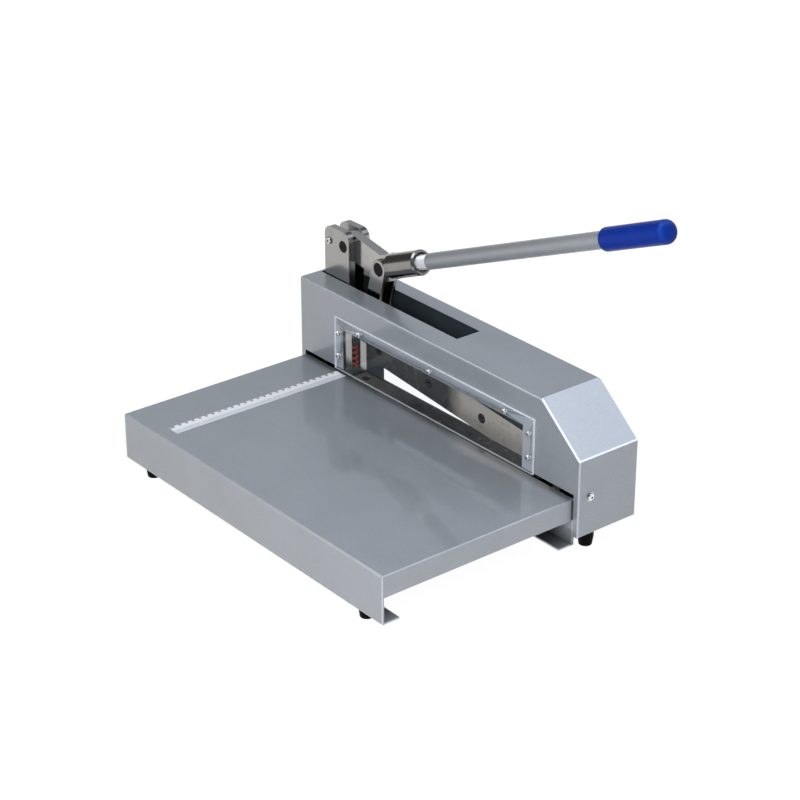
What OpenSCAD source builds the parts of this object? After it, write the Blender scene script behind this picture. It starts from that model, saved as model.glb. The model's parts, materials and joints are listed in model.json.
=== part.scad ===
// Manual shearing machine for sheet: a folded table tray, a blade bed under a folded cover, and a
// hand lever whose two links pull a pivoted blade down past a fixed blade.
// Working frame: X along the blades, Y from the cover's front face to the back, Z up from the floor.

/* [Table tray] */
// Width of the table
tray_w = 524; // [480:1:600]
// Depth of the table in front of the cover
tray_depth = 286.4; // [240:0.2:340]
// Height of the table's top above the floor
table_h = 75; // [70:1:90]
// Thickness of the tray's folded sheet
tray_sheet = 2; // [1.5:0.1:2.5]
// Outer radius of the tray's bends
tray_bend = 3; // [2.8:0.1:5]
// Height of the side skirts
side_skirt = 27.8; // [20:0.2:40]
// Width of the flanges turned in at the bottom of the front and back walls
flange_w = 24; // [22:1:32]
// How far the table reaches in behind the cover's front face
tray_reach = 3; // [2.6:0.1:3.4]

/* [Measuring strip] */
// Width of the strip
ruler_w = 18; // [12:1:24]
// Length of the strip
ruler_len = 264; // [180:1:270]
// Thickness of the strip
ruler_t = 0.8; // [0.5:0.1:1.5]
// Distance from the table's left edge to the strip
ruler_inset = 69; // [40:1:90]
// Distance from the cover's front face to the strip
ruler_gap = 3; // [2:0.5:10]

/* [Cover] */
// Width of the front panel's strips beside the table
cover_strip = 7.5; // [5:0.5:14]
// Depth of the cover
cover_depth = 94.5; // [90:0.5:115]
// Height of the cover from its bottom edge to its top
cover_h = 158; // [150:1:175]
// Height of the cover's bottom edge above the floor
cover_lift = 25.6; // [23:0.2:28]
// Thickness of the cover's folded sheet
cover_sheet = 1.5; // [1:0.1:2]
// Outer radius of the bends along the cover's top
cover_bend = 3; // [2.4:0.1:5]
// Length of the sloped right end, along the top
slope_run = 69; // [40:1:75]
// Height of the sloped right end
slope_drop = 57.6; // [40:0.2:62]
// Free height between the table and the front panel's lower edge
feed_gap = 5.9; // [4.6:0.1:7]
// Width of the opening in the back panel
back_open_w = 426; // [380:1:440]
// Height of the opening in the back panel
back_open_h = 86; // [70:1:95]
// Distance from the cover's left end to the slot in its top
slot_inset = 3; // [2.5:0.5:6]
// Length of the slot in the cover's top
slot_len = 278; // [270:1:290]
// Clearance between the slot's sides and the posts
slot_clear = 1.7; // [1.2:0.1:3]
// Distance of the cover screw behind the front face
cover_screw_y = 19.4; // [17:0.2:20]
// Height of the cover screw above the floor
cover_screw_z = 75.5; // [68:0.5:82]

/* [Guard plate] */
// Width of the clear plate
guard_w = 387; // [370:1:400]
// Height of the clear plate
guard_h = 73.2; // [65:0.2:79]
// Thickness of the clear plate
guard_t = 3; // [2:0.5:5]
// Place of the clear plate's middle along the cover
guard_x = -1; // [-6:0.5:6]
// Distance that the clear plate hangs below the front panel's lower edge
guard_drop = 1.4; // [0.4:0.2:2.4]
// Width of the panel that shows behind the plate, left of the window
window_left = 14.7; // [13:0.1:18]
// Width of the panel that shows behind the plate, right of the window
window_right = 21.5; // [14:0.1:24]
// Height of the panel that shows behind the plate, above the window
window_top = 15.2; // [13:0.1:18]
// Distance from the plate's edges to its screws
guard_margin = 8; // [7:0.1:8.4]
// Distance between the plate's screws along its top
guard_pitch = 141.5; // [120:0.5:150]
// Height of the lower side screws above the plate's lower edge
guard_low = 20.3; // [17:0.1:25]
// Height of the upper side screws above the plate's lower edge
guard_high = 52.3; // [47:0.1:56]
// Thread of the plate's screws
guard_thread = 3.5; // [3:0.5:4]
// Diameter of their heads
guard_head = 8; // [7:0.5:9]

/* [Blades] */
// Distance of the shear plane behind the cover's front face
shear_y = 27; // [25:0.5:28.5]
// Clearance between the two blades
blade_gap = 0.2; // [0.1:0.05:0.3]
// Distance that the lower blade's right end keeps from the blade pivot
lower_end = 48; // [42:1:60]
// Thickness of the lower blade
lower_t = 12; // [10:0.5:15]
// Distance from the lower blade's ends to its outer screws
lower_first = 14.5; // [12:0.5:18]
// Distance that the upper blade's right end keeps from the blade pivot
blade_end = 35; // [32:1:44]
// Height of the upper blade
blade_h = 39.5; // [36:0.5:44]
// Thickness of the upper blade
blade_t = 8; // [6:0.5:9]
// Slope of the upper blade when it is open
blade_tilt = 5.2; // [4.6:0.1:5.8]
// Distance from the blade pivot to the blades' left end
blade_reach = 390; // [380:1:396]
// Distance from the blade pivot to where the open edges cross
cross_reach = 145; // [120:1:170]
// Distance from the left end of the holder's thick part to the upper blade's first bolt
bolt_first = 16; // [11:0.5:20]
// Distance from the upper blade's right end to its last bolt
bolt_last = 22.5; // [12:0.5:28]
// Distance of the blade pivot from the cover's right end
pivot_inset = 45; // [42:1:50]
// Height of the blade pivot above the table
pivot_rise = 15; // [11:0.5:18]
// Diameter of the blade pivot bolt
pivot_d = 16; // [14:1:18]
// Radius of the pivot plates' round tops
plate_r = 22; // [20:1:24]
// Radius of the holder's eye on the blade pivot
pivot_eye_r = 18; // [16:1:20]

/* [Bed] */
// Thickness of the bed plate
bed_t = 10; // [9:0.5:12]
// Height of the bed plate above the cover's bottom edge
bed_lift = 1; // [0.5:0.5:3]
// Depth of the bed plate
bed_depth = 78; // [68:1:80]
// Length of the bed rail past each end of the lower blade
rail_shoulder = 22; // [16:1:25]

/* [Posts] */
// Height of the posts above the cover
post_rise = 69.2; // [62:0.2:76]
// Width of the posts above the cover
post_w = 51.2; // [48:0.2:56]
// Thickness of the posts and of the pivot plates
post_t = 10; // [9:0.5:11]
// Distance from the cover's left end to the posts
post_inset = 10; // [8:0.5:13]
// How much narrower the posts are inside the cover
post_step = 8.7; // [7:0.1:10]
// Radius of the posts' top corners
post_round = 12; // [8:0.5:14]
// Distance from the posts' right edge to the main pivot
pivot_edge = 12.4; // [12:0.2:14]
// Distance from the posts' top to the main pivot
pivot_drop = 20.5; // [18:0.5:23]
// Distance of the tie screw left of the main pivot
tie_reach = 29; // [27.5:0.1:30]
// Outer diameter of the spacer between the posts
spacer_d = 10; // [8:0.5:11]
// Distance of the mechanism's middle plane behind the cover's front face
mech_y = 50.5; // [49.5:0.1:52]

/* [Lever] */
// Thickness of the lever
lever_t = 14; // [12:0.5:14.5]
// Sideways clearance between the lever, the links and the posts
side_clear = 0.3; // [0.2:0.05:0.4]
// Height of the lever's block
lever_h = 35.4; // [32:0.2:37]
// Distance from the main pivot to the upper link pin
arm_len = 68; // [66:0.5:70]
// Slope of that line below level at rest
arm_tilt = 9.9; // [8:0.1:12]
// Diameter of the main pivot pin
main_pin_d = 16; // [14:0.5:17]
// Outer diameter of the bronze bushes
bush_d = 22; // [20:0.5:24]
// Diameter of the lever's socket
socket_d = 33.4; // [31:0.2:34]
// Length of the lever's socket
socket_len = 61.5; // [56:0.5:70]
// Distance from the upper link pin to the socket
socket_start = 18.5; // [18:0.5:22]
// Diameter of the wide mouth that the socket opens with
mouth_d = 26.6; // [25:0.2:28]
// Depth of the socket's wide mouth
mouth_depth = 9; // [6:0.5:12]

/* [Links] */
// Thickness of the link plates
link_t = 5; // [4:0.5:6]
// Width of the link plates
link_w = 26; // [24:0.5:27]
// Distance between the link pins
link_len = 85; // [80:0.5:88]
// Slope of the links from upright at rest
link_tilt = 14.5; // [13:0.5:16]
// Diameter of the upper link pin
upper_pin_d = 18; // [15:0.5:18]
// Diameter of the lower link pin
lower_pin_d = 15; // [12:0.5:16]
// Radius of the holder's eye on the lower link pin
link_eye_r = 14; // [12.5:0.5:15]

/* [Handle] */
// Slope of the handle above level at rest
handle_angle = 22.35; // [18:0.05:26]
// Distance that the handle's axis passes above the upper link pin
handle_rise = 0.7; // [0:0.1:2]
// Outer diameter of the handle tube
tube_d = 21.3; // [20:0.1:24]
// Wall of the handle tube
tube_wall = 2.6; // [2:0.1:3]
// Diameter of the tube's threaded end
thread_d = 19.4; // [17:0.1:19.6]
// Length of thread that shows
thread_show = 18.5; // [12:0.5:24]
// Length of thread inside the socket
thread_in = 45; // [30:1:55]
// Length of painted tube between the thread and the grip
tube_show = 336; // [290:1:360]
// Diameter of the grip
grip_d = 28.6; // [26.4:0.1:31]
// Length of the grip
grip_len = 108.5; // [95:0.5:125]
// Radius of the grip's rounded end
grip_round = 9; // [5:0.5:12]

/* [Spring] */
// Outer diameter of the return spring
spring_od = 13; // [11:0.5:13]
// Diameter of the spring's wire
wire_d = 2.4; // [1.8:0.1:2.6]
// Height of the spring at rest
spring_len = 47; // [42:1:54]
// Number of the spring's curls
spring_turns = 5; // [4:1:6]

/* [Feet] */
// Height of the front feet
foot_h = 13; // [11:0.5:18]
// Diameter of the feet where they meet the machine
foot_d = 20; // [18:0.5:24]
// Distance from the table's side to the front feet
foot_inset = 44; // [30:1:70]
// Distance from the cover's end to the rear feet
rear_foot_inset = 18; // [14:0.5:24]
// Distance of the rear feet behind the cover's front face
rear_foot_y = 32; // [24:1:40]

/* [Hidden] */
$fn = 64;

// Fits, as radial clearances
run_fit = 0.05;
snug_fit = 0.02;
hole_fit = 0.25;
// The same round the clear plate's small screws
small_fit = 0.2;
// The lower link pin's holes in the links are wide, because that pivot is the open one of the loop
open_fit = 1.3;
// Clearance between the cover's front panel and the table's sides
notch_clear = 0.5;
// Clearance between the bed plate and the cover's end panels
bed_clear = 0.5;
// How far the rail stands back from the lower blade's edge
rail_relief = 0.5;
// How far a cutter runs past the face that it opens
past = 1;
// How far a straight side lies inside the round end that it runs into
waist = 0.2;

// Fastener diameters
m5 = 5;
m6 = 6;
m8 = 8;
// Reach of a bolt into the piece that it is screwed into, and the tapped hole's depth past its tip
bite = 16;
tap_tip = 1;
// Proportions of heads and nuts, as shares of the thread's diameter
pan_head = 0.65;
hex_head = 0.65;
nut_h = 0.8;
cap_head_r = 0.8;
key_r = 0.45;
// Half the width of a hexagon across its corners
function hex_r(d) = (d < 10 ? 0.97 : 0.87) * d;

// Cover
cover_len = tray_w + 2 * (notch_clear + cover_strip);
half = cover_len / 2;
inner_half = half - cover_sheet;
cover_top = cover_lift + cover_h;
panel_bottom = table_h + feed_gap;
guard_bottom = panel_bottom - guard_drop;
window_z = guard_bottom + guard_h - window_top;
window_x0 = guard_x - guard_w / 2 + window_left;
window_x1 = guard_x + guard_w / 2 - window_right;

// Bed
bed_bottom = cover_lift + bed_lift;
bed_top = bed_bottom + bed_t;
bed_half = inner_half - bed_clear;
lower_back = shear_y - blade_gap;
rail_back = lower_back - rail_relief;
rail_mid = (tray_reach + rail_back) / 2;

// Plates and posts, side by side about the middle plane
gap = lever_t + 2 * side_clear;
post_front_y = mech_y - gap / 2 - post_t;
post_rear_y = mech_y + gap / 2;
link_front_y = mech_y - gap / 2 - link_t;
link_rear_y = mech_y + gap / 2;
post_left = post_inset - half;
post_right = post_left + post_w;
neck_right = post_right - post_step;
post_top = cover_top + post_rise;
// Height below the cover's top at which the posts start to widen
step_depth = 34;
slot_y0 = post_front_y - slot_clear;
slot_y1 = post_rear_y + post_t + slot_clear;

// Pivots, as [x, z]
p1 = [post_right - pivot_edge, post_top - pivot_drop];
p2 = p1 + arm_len * [cos(arm_tilt), -sin(arm_tilt)];
p3 = p2 - link_len * [sin(link_tilt), cos(link_tilt)];
p4 = [half - pivot_inset, table_h + pivot_rise];
tie = p1 - [tie_reach, 0];

// Upper blade, in a frame whose X runs down along its edge from the point where the edges cross
cross_x = p4[0] - cross_reach;
blade_left = p4[0] - blade_reach;
edge_left = (blade_left - cross_x) / cos(blade_tilt);
edge_right = edge_left + blade_reach - blade_end;
// How far the blade's edge stands below its holder
holder_raise = 4;
// Distance from the blade's ends to the holder's thick part, which also keeps clear of the links
pad_inset = 7;
pad_end = 2;
pad_clear = 4;
beside_links = p3[0] + link_w / 2 + pad_clear;
pad_left = max(edge_left + pad_inset, (beside_links - cross_x) / cos(blade_tilt));
holder_y = shear_y + blade_t;
tongue_y = mech_y - lever_t / 2;
// Bolt heads lie this far under the blade's face
head_sink = 0.6;

// Lower blade and rail
lower_right = p4[0] - lower_end;
lower_pitch = (lower_right - blade_left - 2 * lower_first) / 3;
rail_left = blade_left - rail_shoulder;
rail_right = lower_right + rail_shoulder;
lower_screws = [for (i = [0:3]) blade_left + lower_first + i * lower_pitch];
rail_bolt_x = [for (i = [0:2]) blade_left + lower_first + (i + 0.5) * lower_pitch];
tray_bolt_x = [for (i = [0.25, 1.25, 2.75]) blade_left + lower_first + i * lower_pitch];
// Height of the tray's bolts above the bed plate
tray_bolt_rise = 18;
tray_bolt_z = bed_top + tray_bolt_rise;
bolt_pitch = (edge_right - bolt_last - pad_left - bolt_first) / 3;
blade_bolt_u = [for (i = [0:3]) pad_left + bolt_first + i * bolt_pitch];

// Spring, its seat and the foot of the holder that presses on it
spring_inset = 6;
spring_x = neck_right - spring_inset;
seat_t = 4;
seat_d = gap - 2 * side_clear;
peg_clear = 0.5;
peg_h = 10;
lug_h = 32;
lug_w = 19;
lug_right = neck_right;
lug_left = lug_right - lug_w;
lug_bottom = bed_top + seat_t + spring_len + run_fit;

// Handle, measured along its axis from the upper link pin
socket_end = socket_start + socket_len;
tube_start = socket_end + thread_show;
grip_start = tube_start + tube_show;
grip_end = grip_start + grip_len;
// Thickness of the grip's closed end
grip_cap = 4;
// Length that the tube's end keeps from the grip's closed end
tube_end_clear = 0.5;

// Brackets that hold the cover, and their bolts
bracket_t = 3;
bracket_w = 24;
bracket_foot = 22;
bracket_above = 10;

// Feet
front_foot_y = flange_w / 2 - tray_depth;
front_foot_x = tray_w / 2 - foot_inset;
rear_foot_x = half - rear_foot_inset;
foot_taper = 2;
// Depth of the hole that hides a foot's screw head
foot_recess = 6;

// The part's own origin: the middle of the whole machine's footprint
x_low = -half - pan_head * m6;
x_high = p2[0] + (grip_end - grip_round) * cos(handle_angle)
    + (grip_d / 2 - grip_round - handle_rise) * sin(handle_angle) + grip_round;
origin_x = (x_low + x_high) / 2;
origin_y = (cover_depth - tray_depth) / 2;

function unit(v) = v / norm(v);

// Moves what is drawn in the working frame to the part's own origin
module place() {
    translate([-origin_x, -origin_y, 0])
        children();
}

// A plate cut from an outline in X and Z, from y to y + t
module plate(y, t) {
    translate([0, y + t, 0])
        rotate([90, 0, 0])
            linear_extrude(t)
                children();
}

// A bar along X with an outline in Y and Z
module bar_x(x0, x1) {
    translate([x0, 0, 0])
        rotate([90, 0, 90])
            linear_extrude(x1 - x0)
                children();
}

// A round bar along Y through the point [x, z]
module rod_y(p, y0, y1, r) {
    translate([p[0], y1, p[1]])
        rotate([90, 0, 0])
            cylinder(h = y1 - y0, r = r);
}

// A box between two corners
module box(low, high) {
    translate(low)
        cube(high - low);
}

// An outline with its two upper corners rounded
module round_top(x0, x1, z0, z1, r) {
    translate([x0, z0])
        square([x1 - x0, z1 - r - z0]);
    translate([x0 + r, z0])
        square([x1 - x0 - 2 * r, z1 - z0]);
    for (x = [x0 + r, x1 - r])
        translate([x, z1 - r])
            circle(r);
}

// The upper blade's frame: X down along its edge, Z up across it
module blade_frame() {
    translate([cross_x, 0, table_h])
        rotate([0, blade_tilt, 0])
            children();
}

// The handle's frame: Z along the handle, away from the upper link pin
module handle_frame() {
    translate([p2[0], mech_y, p2[1]])
        rotate([0, 90 - handle_angle, 0])
            translate([-handle_rise, 0, 0])
                children();
}

// Pan-head screw, head above its seat at z = 0 and so many times as wide as its thread
module pan_screw(d, len, wide = 2) {
    r = wide * d / 2;
    chamfer = r / 4;
    cylinder(h = pan_head * r - chamfer, r = r);
    translate([0, 0, pan_head * r - chamfer])
        cylinder(h = chamfer, r1 = r, r2 = r - chamfer);
    translate([0, 0, -len])
        cylinder(h = len, d = d);
}

// Hexagon bolt, head above its seat at z = 0
module hex_bolt(d, len) {
    cylinder(h = hex_head * d, r = hex_r(d), $fn = 6);
    translate([0, 0, -len])
        cylinder(h = len, d = d);
}

// Socket bolt with its head above z = 0
module socket_bolt(d, head, len) {
    socket = d / 2;
    difference() {
        cylinder(h = head, r = cap_head_r * d);
        translate([0, 0, head - socket])
            cylinder(h = socket + past, r = key_r * d, $fn = 6);
    }
    translate([0, 0, -len])
        cylinder(h = len, d = d);
}

// Hexagon nut from z = 0 up
module hex_nut(d) {
    difference() {
        cylinder(h = nut_h * d, r = hex_r(d), $fn = 6);
        translate([0, 0, -past])
            cylinder(h = nut_h * d + 2 * past, r = d / 2 + snug_fit);
    }
}

// Plain pivot pin along Y with both ends chamfered and a groove for a clip near its back end
clip_t = 1.2;
clip_play = 0.1;
clip_tail = 2;
clip_depth = 1;
pin_proud = 0.6;
module pivot_pin(p, y0, y1, r) {
    back = y1 + clip_play + clip_t + clip_tail;
    chamfer = 0.5;
    translate([p[0], y0 - pin_proud, p[1]])
        rotate([-90, 0, 0])
            difference() {
                union() {
                    cylinder(h = chamfer, r1 = r - chamfer, r2 = r);
                    translate([0, 0, chamfer])
                        cylinder(h = back - y0 + pin_proud - 2 * chamfer, r = r);
                    translate([0, 0, back - y0 + pin_proud - chamfer])
                        cylinder(h = chamfer, r1 = r, r2 = r - chamfer);
                }
                translate([0, 0, y1 + clip_play - y0 + pin_proud - clip_play / 2])
                    difference() {
                        cylinder(h = clip_t + clip_play, r = r + past);
                        translate([0, 0, -past])
                            cylinder(h = clip_t + clip_play + 2 * past, r = r - clip_depth);
                    }
            }
}

// Clip that sits in a pivot pin's groove
module pin_clip(p, y1, r) {
    ring = 2.5;
    mouth = 1.2 * r;
    plate(y1 + clip_play, clip_t)
        translate(p)
            difference() {
                circle(r + ring);
                circle(r - clip_depth + snug_fit);
                translate([-mouth / 2, -r - ring - past])
                    square([mouth, r + ring + past]);
            }
}

// Table tray
module tray_block(inset, bottom) {
    r = tray_bend - inset;
    w = tray_w / 2 - inset;
    intersection() {
        bar_x(-w, w)
            round_top(inset - tray_depth, tray_reach - inset, bottom, table_h - inset, r);
        plate(-tray_depth, tray_depth + tray_reach)
            round_top(-w, w, bottom, table_h - inset, r);
    }
}

module base_tray() {
    side_bottom = table_h - side_skirt;
    place() color("silver") difference() {
        union() {
            difference() {
                tray_block(0, foot_h);
                tray_block(tray_sheet, foot_h - past);
                // Side walls end at the side skirts' lower edges
                for (s = [-1, 1])
                    translate([s * tray_w / 2, (tray_reach - tray_depth) / 2, foot_h])
                        cube([2 * tray_sheet + past, tray_depth + tray_reach - 2 * tray_sheet,
                            2 * (side_bottom - foot_h)], center = true);
            }
            box([-tray_w / 2, -tray_depth, foot_h],
                [tray_w / 2, flange_w - tray_depth, foot_h + tray_sheet]);
            box([-tray_w / 2, tray_reach - flange_w, foot_h],
                [tray_w / 2, tray_reach, foot_h + tray_sheet]);
        }
        for (s = [-1, 1])
            translate([s * front_foot_x, front_foot_y, foot_h - past])
                cylinder(h = tray_sheet + 2 * past, r = m5 / 2 + hole_fit);
        for (x = tray_bolt_x)
            rod_y([x, tray_bolt_z], tray_reach - tray_sheet - past, tray_reach + past, m6 / 2 + hole_fit);
    }
}

module scale_ruler() {
    x0 = ruler_inset - tray_w / 2;
    place() color("gainsboro")
        box([x0, -ruler_gap - ruler_len, table_h], [x0 + ruler_w, -ruler_gap, table_h + ruler_t]);
}

module tray_bolts() {
    place() color("dimgray")
        for (x = tray_bolt_x)
            translate([x, tray_reach - tray_sheet, tray_bolt_z])
                rotate([90, 0, 0])
                    hex_bolt(m6, tray_sheet + bite);
}

// Bed plate and rail
plate_bolt_edge = 9;
post_bolt_edge = 15;
plate_bolt_dx = plate_r - plate_bolt_edge;
post_bolt_x = [post_left + post_bolt_edge, neck_right - post_bolt_edge];
front_mid = post_front_y + post_t / 2;
rear_mid = post_rear_y + post_t / 2;
bed_bolts = concat(
    [for (x = post_bolt_x, y = [front_mid, rear_mid]) [x, y]],
    [for (s = [-1, 1], y = [front_mid, rear_mid]) [p4[0] + s * plate_bolt_dx, y]],
    [for (x = rail_bolt_x) [x, rail_mid]]
);
bracket_bolt_x = inner_half - bracket_foot / 2 - bracket_t / 2;
// Depth that a bed bolt's head takes from the bed plate
bed_head = m6;

module bed_plate() {
    place() color("slategray") difference() {
        box([-bed_half, tray_reach, bed_bottom], [bed_half, tray_reach + bed_depth, bed_top]);
        for (b = bed_bolts)
            translate([b[0], b[1], bed_bottom]) {
                translate([0, 0, -past])
                    cylinder(h = bed_t + 2 * past, r = m6 / 2 + hole_fit);
                translate([0, 0, -past])
                    cylinder(h = bed_head + past, r = cap_head_r * m6 + hole_fit);
            }
        for (s = [-1, 1]) {
            translate([s * bracket_bolt_x, cover_screw_y, bed_bottom - past])
                cylinder(h = bed_t + 2 * past, r = m5 / 2 + snug_fit);
            translate([s * rear_foot_x, rear_foot_y, bed_bottom - past])
                cylinder(h = bed_t + 2 * past, r = m5 / 2 + snug_fit);
        }
    }
}

// Bolts driven up from under the bed plate
module bed_bolt_group(first, last) {
    for (i = [first:last])
        translate([bed_bolts[i][0], bed_bolts[i][1], bed_bottom + bed_head])
            rotate([180, 0, 0])
                socket_bolt(m6, bed_head, bed_t - bed_head + bite);
}

// Tapped hole for a bolt driven up from under the bed plate
module bed_tap(i) {
    translate([bed_bolts[i][0], bed_bolts[i][1], bed_top - past])
        cylinder(h = bite + tap_tip + past, r = m6 / 2 + snug_fit);
}

module bed_rail() {
    place() color("slategray") difference() {
        box([rail_left, tray_reach, bed_top], [rail_right, rail_back, table_h]);
        box([blade_left, tray_reach - past, table_h - lower_t],
            [lower_right, rail_back + past, table_h + past]);
        for (i = [8:10])
            bed_tap(i);
        for (x = tray_bolt_x)
            rod_y([x, tray_bolt_z], tray_reach - past, tray_reach + bite + tap_tip, m6 / 2 + snug_fit);
        for (x = lower_screws)
            translate([x, rail_mid, table_h - lower_t - bite])
                cylinder(h = bite + past, r = m6 / 2 + snug_fit);
    }
}

module rail_bolts() {
    place() color("dimgray")
        bed_bolt_group(8, 10);
}

// Lower blade with countersunk screws
csk_r = m6;
csk_h = m6 / 2;
module lower_blade() {
    place() color("gray") difference() {
        box([blade_left, tray_reach, table_h - lower_t], [lower_right, lower_back, table_h]);
        for (x = lower_screws)
            translate([x, rail_mid, 0]) {
                translate([0, 0, table_h - lower_t - past])
                    cylinder(h = lower_t + 2 * past, r = m6 / 2 + hole_fit);
                translate([0, 0, table_h - csk_h - hole_fit])
                    cylinder(h = csk_h + hole_fit, r1 = csk_r - csk_h, r2 = csk_r + hole_fit);
            }
    }
}

module lower_blade_screws() {
    socket = 2;
    place() color("dimgray")
        for (x = lower_screws)
            translate([x, rail_mid, table_h - csk_h - hole_fit]) {
                difference() {
                    cylinder(h = csk_h, r1 = csk_r - csk_h, r2 = csk_r);
                    translate([0, 0, csk_h - socket])
                        cylinder(h = socket + past, r = m6 / 3, $fn = 6);
                }
                translate([0, 0, csk_h + hole_fit - lower_t - bite + past])
                    cylinder(h = lower_t + bite - csk_h - hole_fit - past, d = m6);
            }
}

// Posts
module post(y, first_bolt) {
    step_z = cover_top - step_depth;
    difference() {
        plate(y, post_t) difference() {
            union() {
                polygon([[post_left, bed_top], [neck_right, bed_top], [neck_right, step_z],
                    [post_right, step_z + post_step], [post_right, cover_top], [post_left, cover_top]]);
                round_top(post_left, post_right, cover_top - past, post_top, post_round);
            }
            translate(p1)
                circle(main_pin_d / 2 + snug_fit);
            translate(tie)
                circle(m5 / 2 + hole_fit);
        }
        for (i = [first_bolt, first_bolt + 2])
            bed_tap(i);
    }
}

module front_post() {
    place() color("lightgray")
        post(post_front_y, 0);
}

module rear_post() {
    place() color("lightgray")
        post(post_rear_y, 1);
}

module post_bolts() {
    place() color("dimgray")
        bed_bolt_group(0, 3);
}

module post_spacer() {
    place() color("lightgray") difference() {
        rod_y(tie, mech_y - gap / 2, mech_y + gap / 2, spacer_d / 2);
        rod_y(tie, mech_y - gap / 2 - past, mech_y + gap / 2 + past, m5 / 2 + hole_fit);
    }
}

tie_grip = gap + 2 * post_t;
module post_tie_screw() {
    place() color("silver")
        translate([tie[0], post_front_y, tie[1]])
            rotate([90, 0, 0])
                pan_screw(m5, tie_grip + m5);
}

module post_tie_nut() {
    place() color("silver")
        translate([tie[0], post_rear_y + post_t, tie[1]])
            rotate([-90, 0, 0])
                hex_nut(m5);
}

module main_pivot_pin() {
    place() color("black")
        pivot_pin(p1, post_front_y, post_rear_y + post_t, main_pin_d / 2);
}

module main_pin_clip() {
    place() color("dimgray")
        pin_clip(p1, post_rear_y + post_t, main_pin_d / 2);
}

// Pivot plates at the right end
module pivot_plate(y, first_bolt) {
    difference() {
        plate(y, post_t) difference() {
            union() {
                translate(p4)
                    circle(plate_r);
                translate([p4[0] - plate_r, bed_top])
                    square([2 * plate_r, p4[1] - bed_top]);
            }
            translate(p4)
                circle(pivot_d / 2 + snug_fit);
        }
        for (i = [first_bolt, first_bolt + 2])
            bed_tap(i);
    }
}

module front_pivot_plate() {
    place() color("slategray")
        pivot_plate(post_front_y, 4);
}

module rear_pivot_plate() {
    place() color("slategray")
        pivot_plate(post_rear_y, 5);
}

module plate_bolts() {
    place() color("dimgray")
        bed_bolt_group(4, 7);
}

module blade_pivot_bolt() {
    nut_end = nut_h * pivot_d + clip_tail;
    place() color("dimgray")
        translate([p4[0], post_front_y, p4[1]])
            rotate([90, 0, 0]) {
                cylinder(h = pivot_d / 2, r = hex_r(pivot_d), $fn = 6);
                translate([0, 0, -tie_grip - nut_end])
                    cylinder(h = tie_grip + nut_end, d = pivot_d);
            }
}

module blade_pivot_nut() {
    place() color("dimgray")
        translate([p4[0], post_rear_y + post_t, p4[1]])
            rotate([-90, 0, 0])
                hex_nut(pivot_d);
}

// Return spring, one unbroken wire whose ends stand square on the seat and under the holder's foot
ring_sides = 6;
curl_rings = 8;
spring_r = (spring_od - wire_d) / 2;
spring_steps = spring_turns * curl_rings;
spring_rise = spring_len - 2 * wire_d;
function on_helix(i) =
    let (a = 360 * i / curl_rings)
    [spring_r * cos(a), spring_r * sin(a), wire_d + spring_rise * i / spring_steps];
spring_path = concat(
    [on_helix(0) - [0, 0, wire_d]],
    [for (i = [0:spring_steps]) on_helix(i)],
    [on_helix(spring_steps) + [0, 0, wire_d]]
);
function wire_ring(i) =
    let (last = len(spring_path) - 1)
    let (a = max(i, 1), b = min(i, last - 1))
    let (before = unit(spring_path[a] - spring_path[a - 1]))
    let (after = unit(spring_path[b + 1] - spring_path[b]))
    let (along = unit(before + after))
    let (out = unit([spring_path[i][0], spring_path[i][1], 0]))
    let (side = unit(cross(along, out)) / (before * along))
    [for (k = [0:ring_sides - 1])
        let (t = 360 * k / ring_sides)
        spring_path[i] + wire_d / 2 * (cos(t) * out + sin(t) * side)];
spring_self_gap = min([
    for (i = [0:spring_steps], j = [i + curl_rings / 2:1:spring_steps])
        norm(on_helix(i) - on_helix(j))
]) - wire_d;
echo(spring_self_gap = spring_self_gap);

module spring_seat() {
    peg_r = spring_r - wire_d / 2 - peg_clear;
    place() color("dimgray")
        translate([spring_x, mech_y, bed_top]) {
            cylinder(h = seat_t, d = seat_d);
            cylinder(h = seat_t + peg_h, r = peg_r);
        }
}

module return_spring() {
    rings = len(spring_path);
    points = [for (i = [0:rings - 1]) each wire_ring(i)];
    walls = [for (i = [0:rings - 2], k = [0:ring_sides - 1])
        let (n = (k + 1) % ring_sides, a = i * ring_sides, b = a + ring_sides)
        each [[a + k, b + k, a + n], [a + n, b + k, b + n]]];
    first = [for (k = [1:ring_sides - 2]) [0, k, k + 1]];
    top = (rings - 1) * ring_sides;
    last = [for (k = [1:ring_sides - 2]) [top, top + k + 1, top + k]];
    place() color("firebrick")
        translate([spring_x, mech_y, bed_top + seat_t])
            polyhedron(points, concat(walls, first, last));
}

// Cover
module cover_block(inset, bottom) {
    r = cover_bend - inset;
    top = cover_top - inset;
    // The sloped face moves in by the sheet's thickness, measured square to the slope
    slope = norm([slope_run, slope_drop]);
    shift = inset * slope / slope_drop;
    x = half - inset;
    run = slope_run + shift - inset - inset * slope_run / slope_drop;
    intersection() {
        bar_x(-x, x)
            round_top(inset, cover_depth - inset, bottom, top, r);
        plate(0, cover_depth)
            polygon([[-x, bottom], [x, bottom], [x, top - run * slope_drop / slope_run],
                [x - run, top], [-x, top]]);
    }
}

guard_holes = concat(
    [for (s = [-1, 1], z = [guard_low, guard_high])
        [guard_x + s * (guard_w / 2 - guard_margin), guard_bottom + z]],
    [for (i = [-1:1]) [guard_x + i * guard_pitch, guard_bottom + guard_h - guard_margin]]
);

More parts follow.
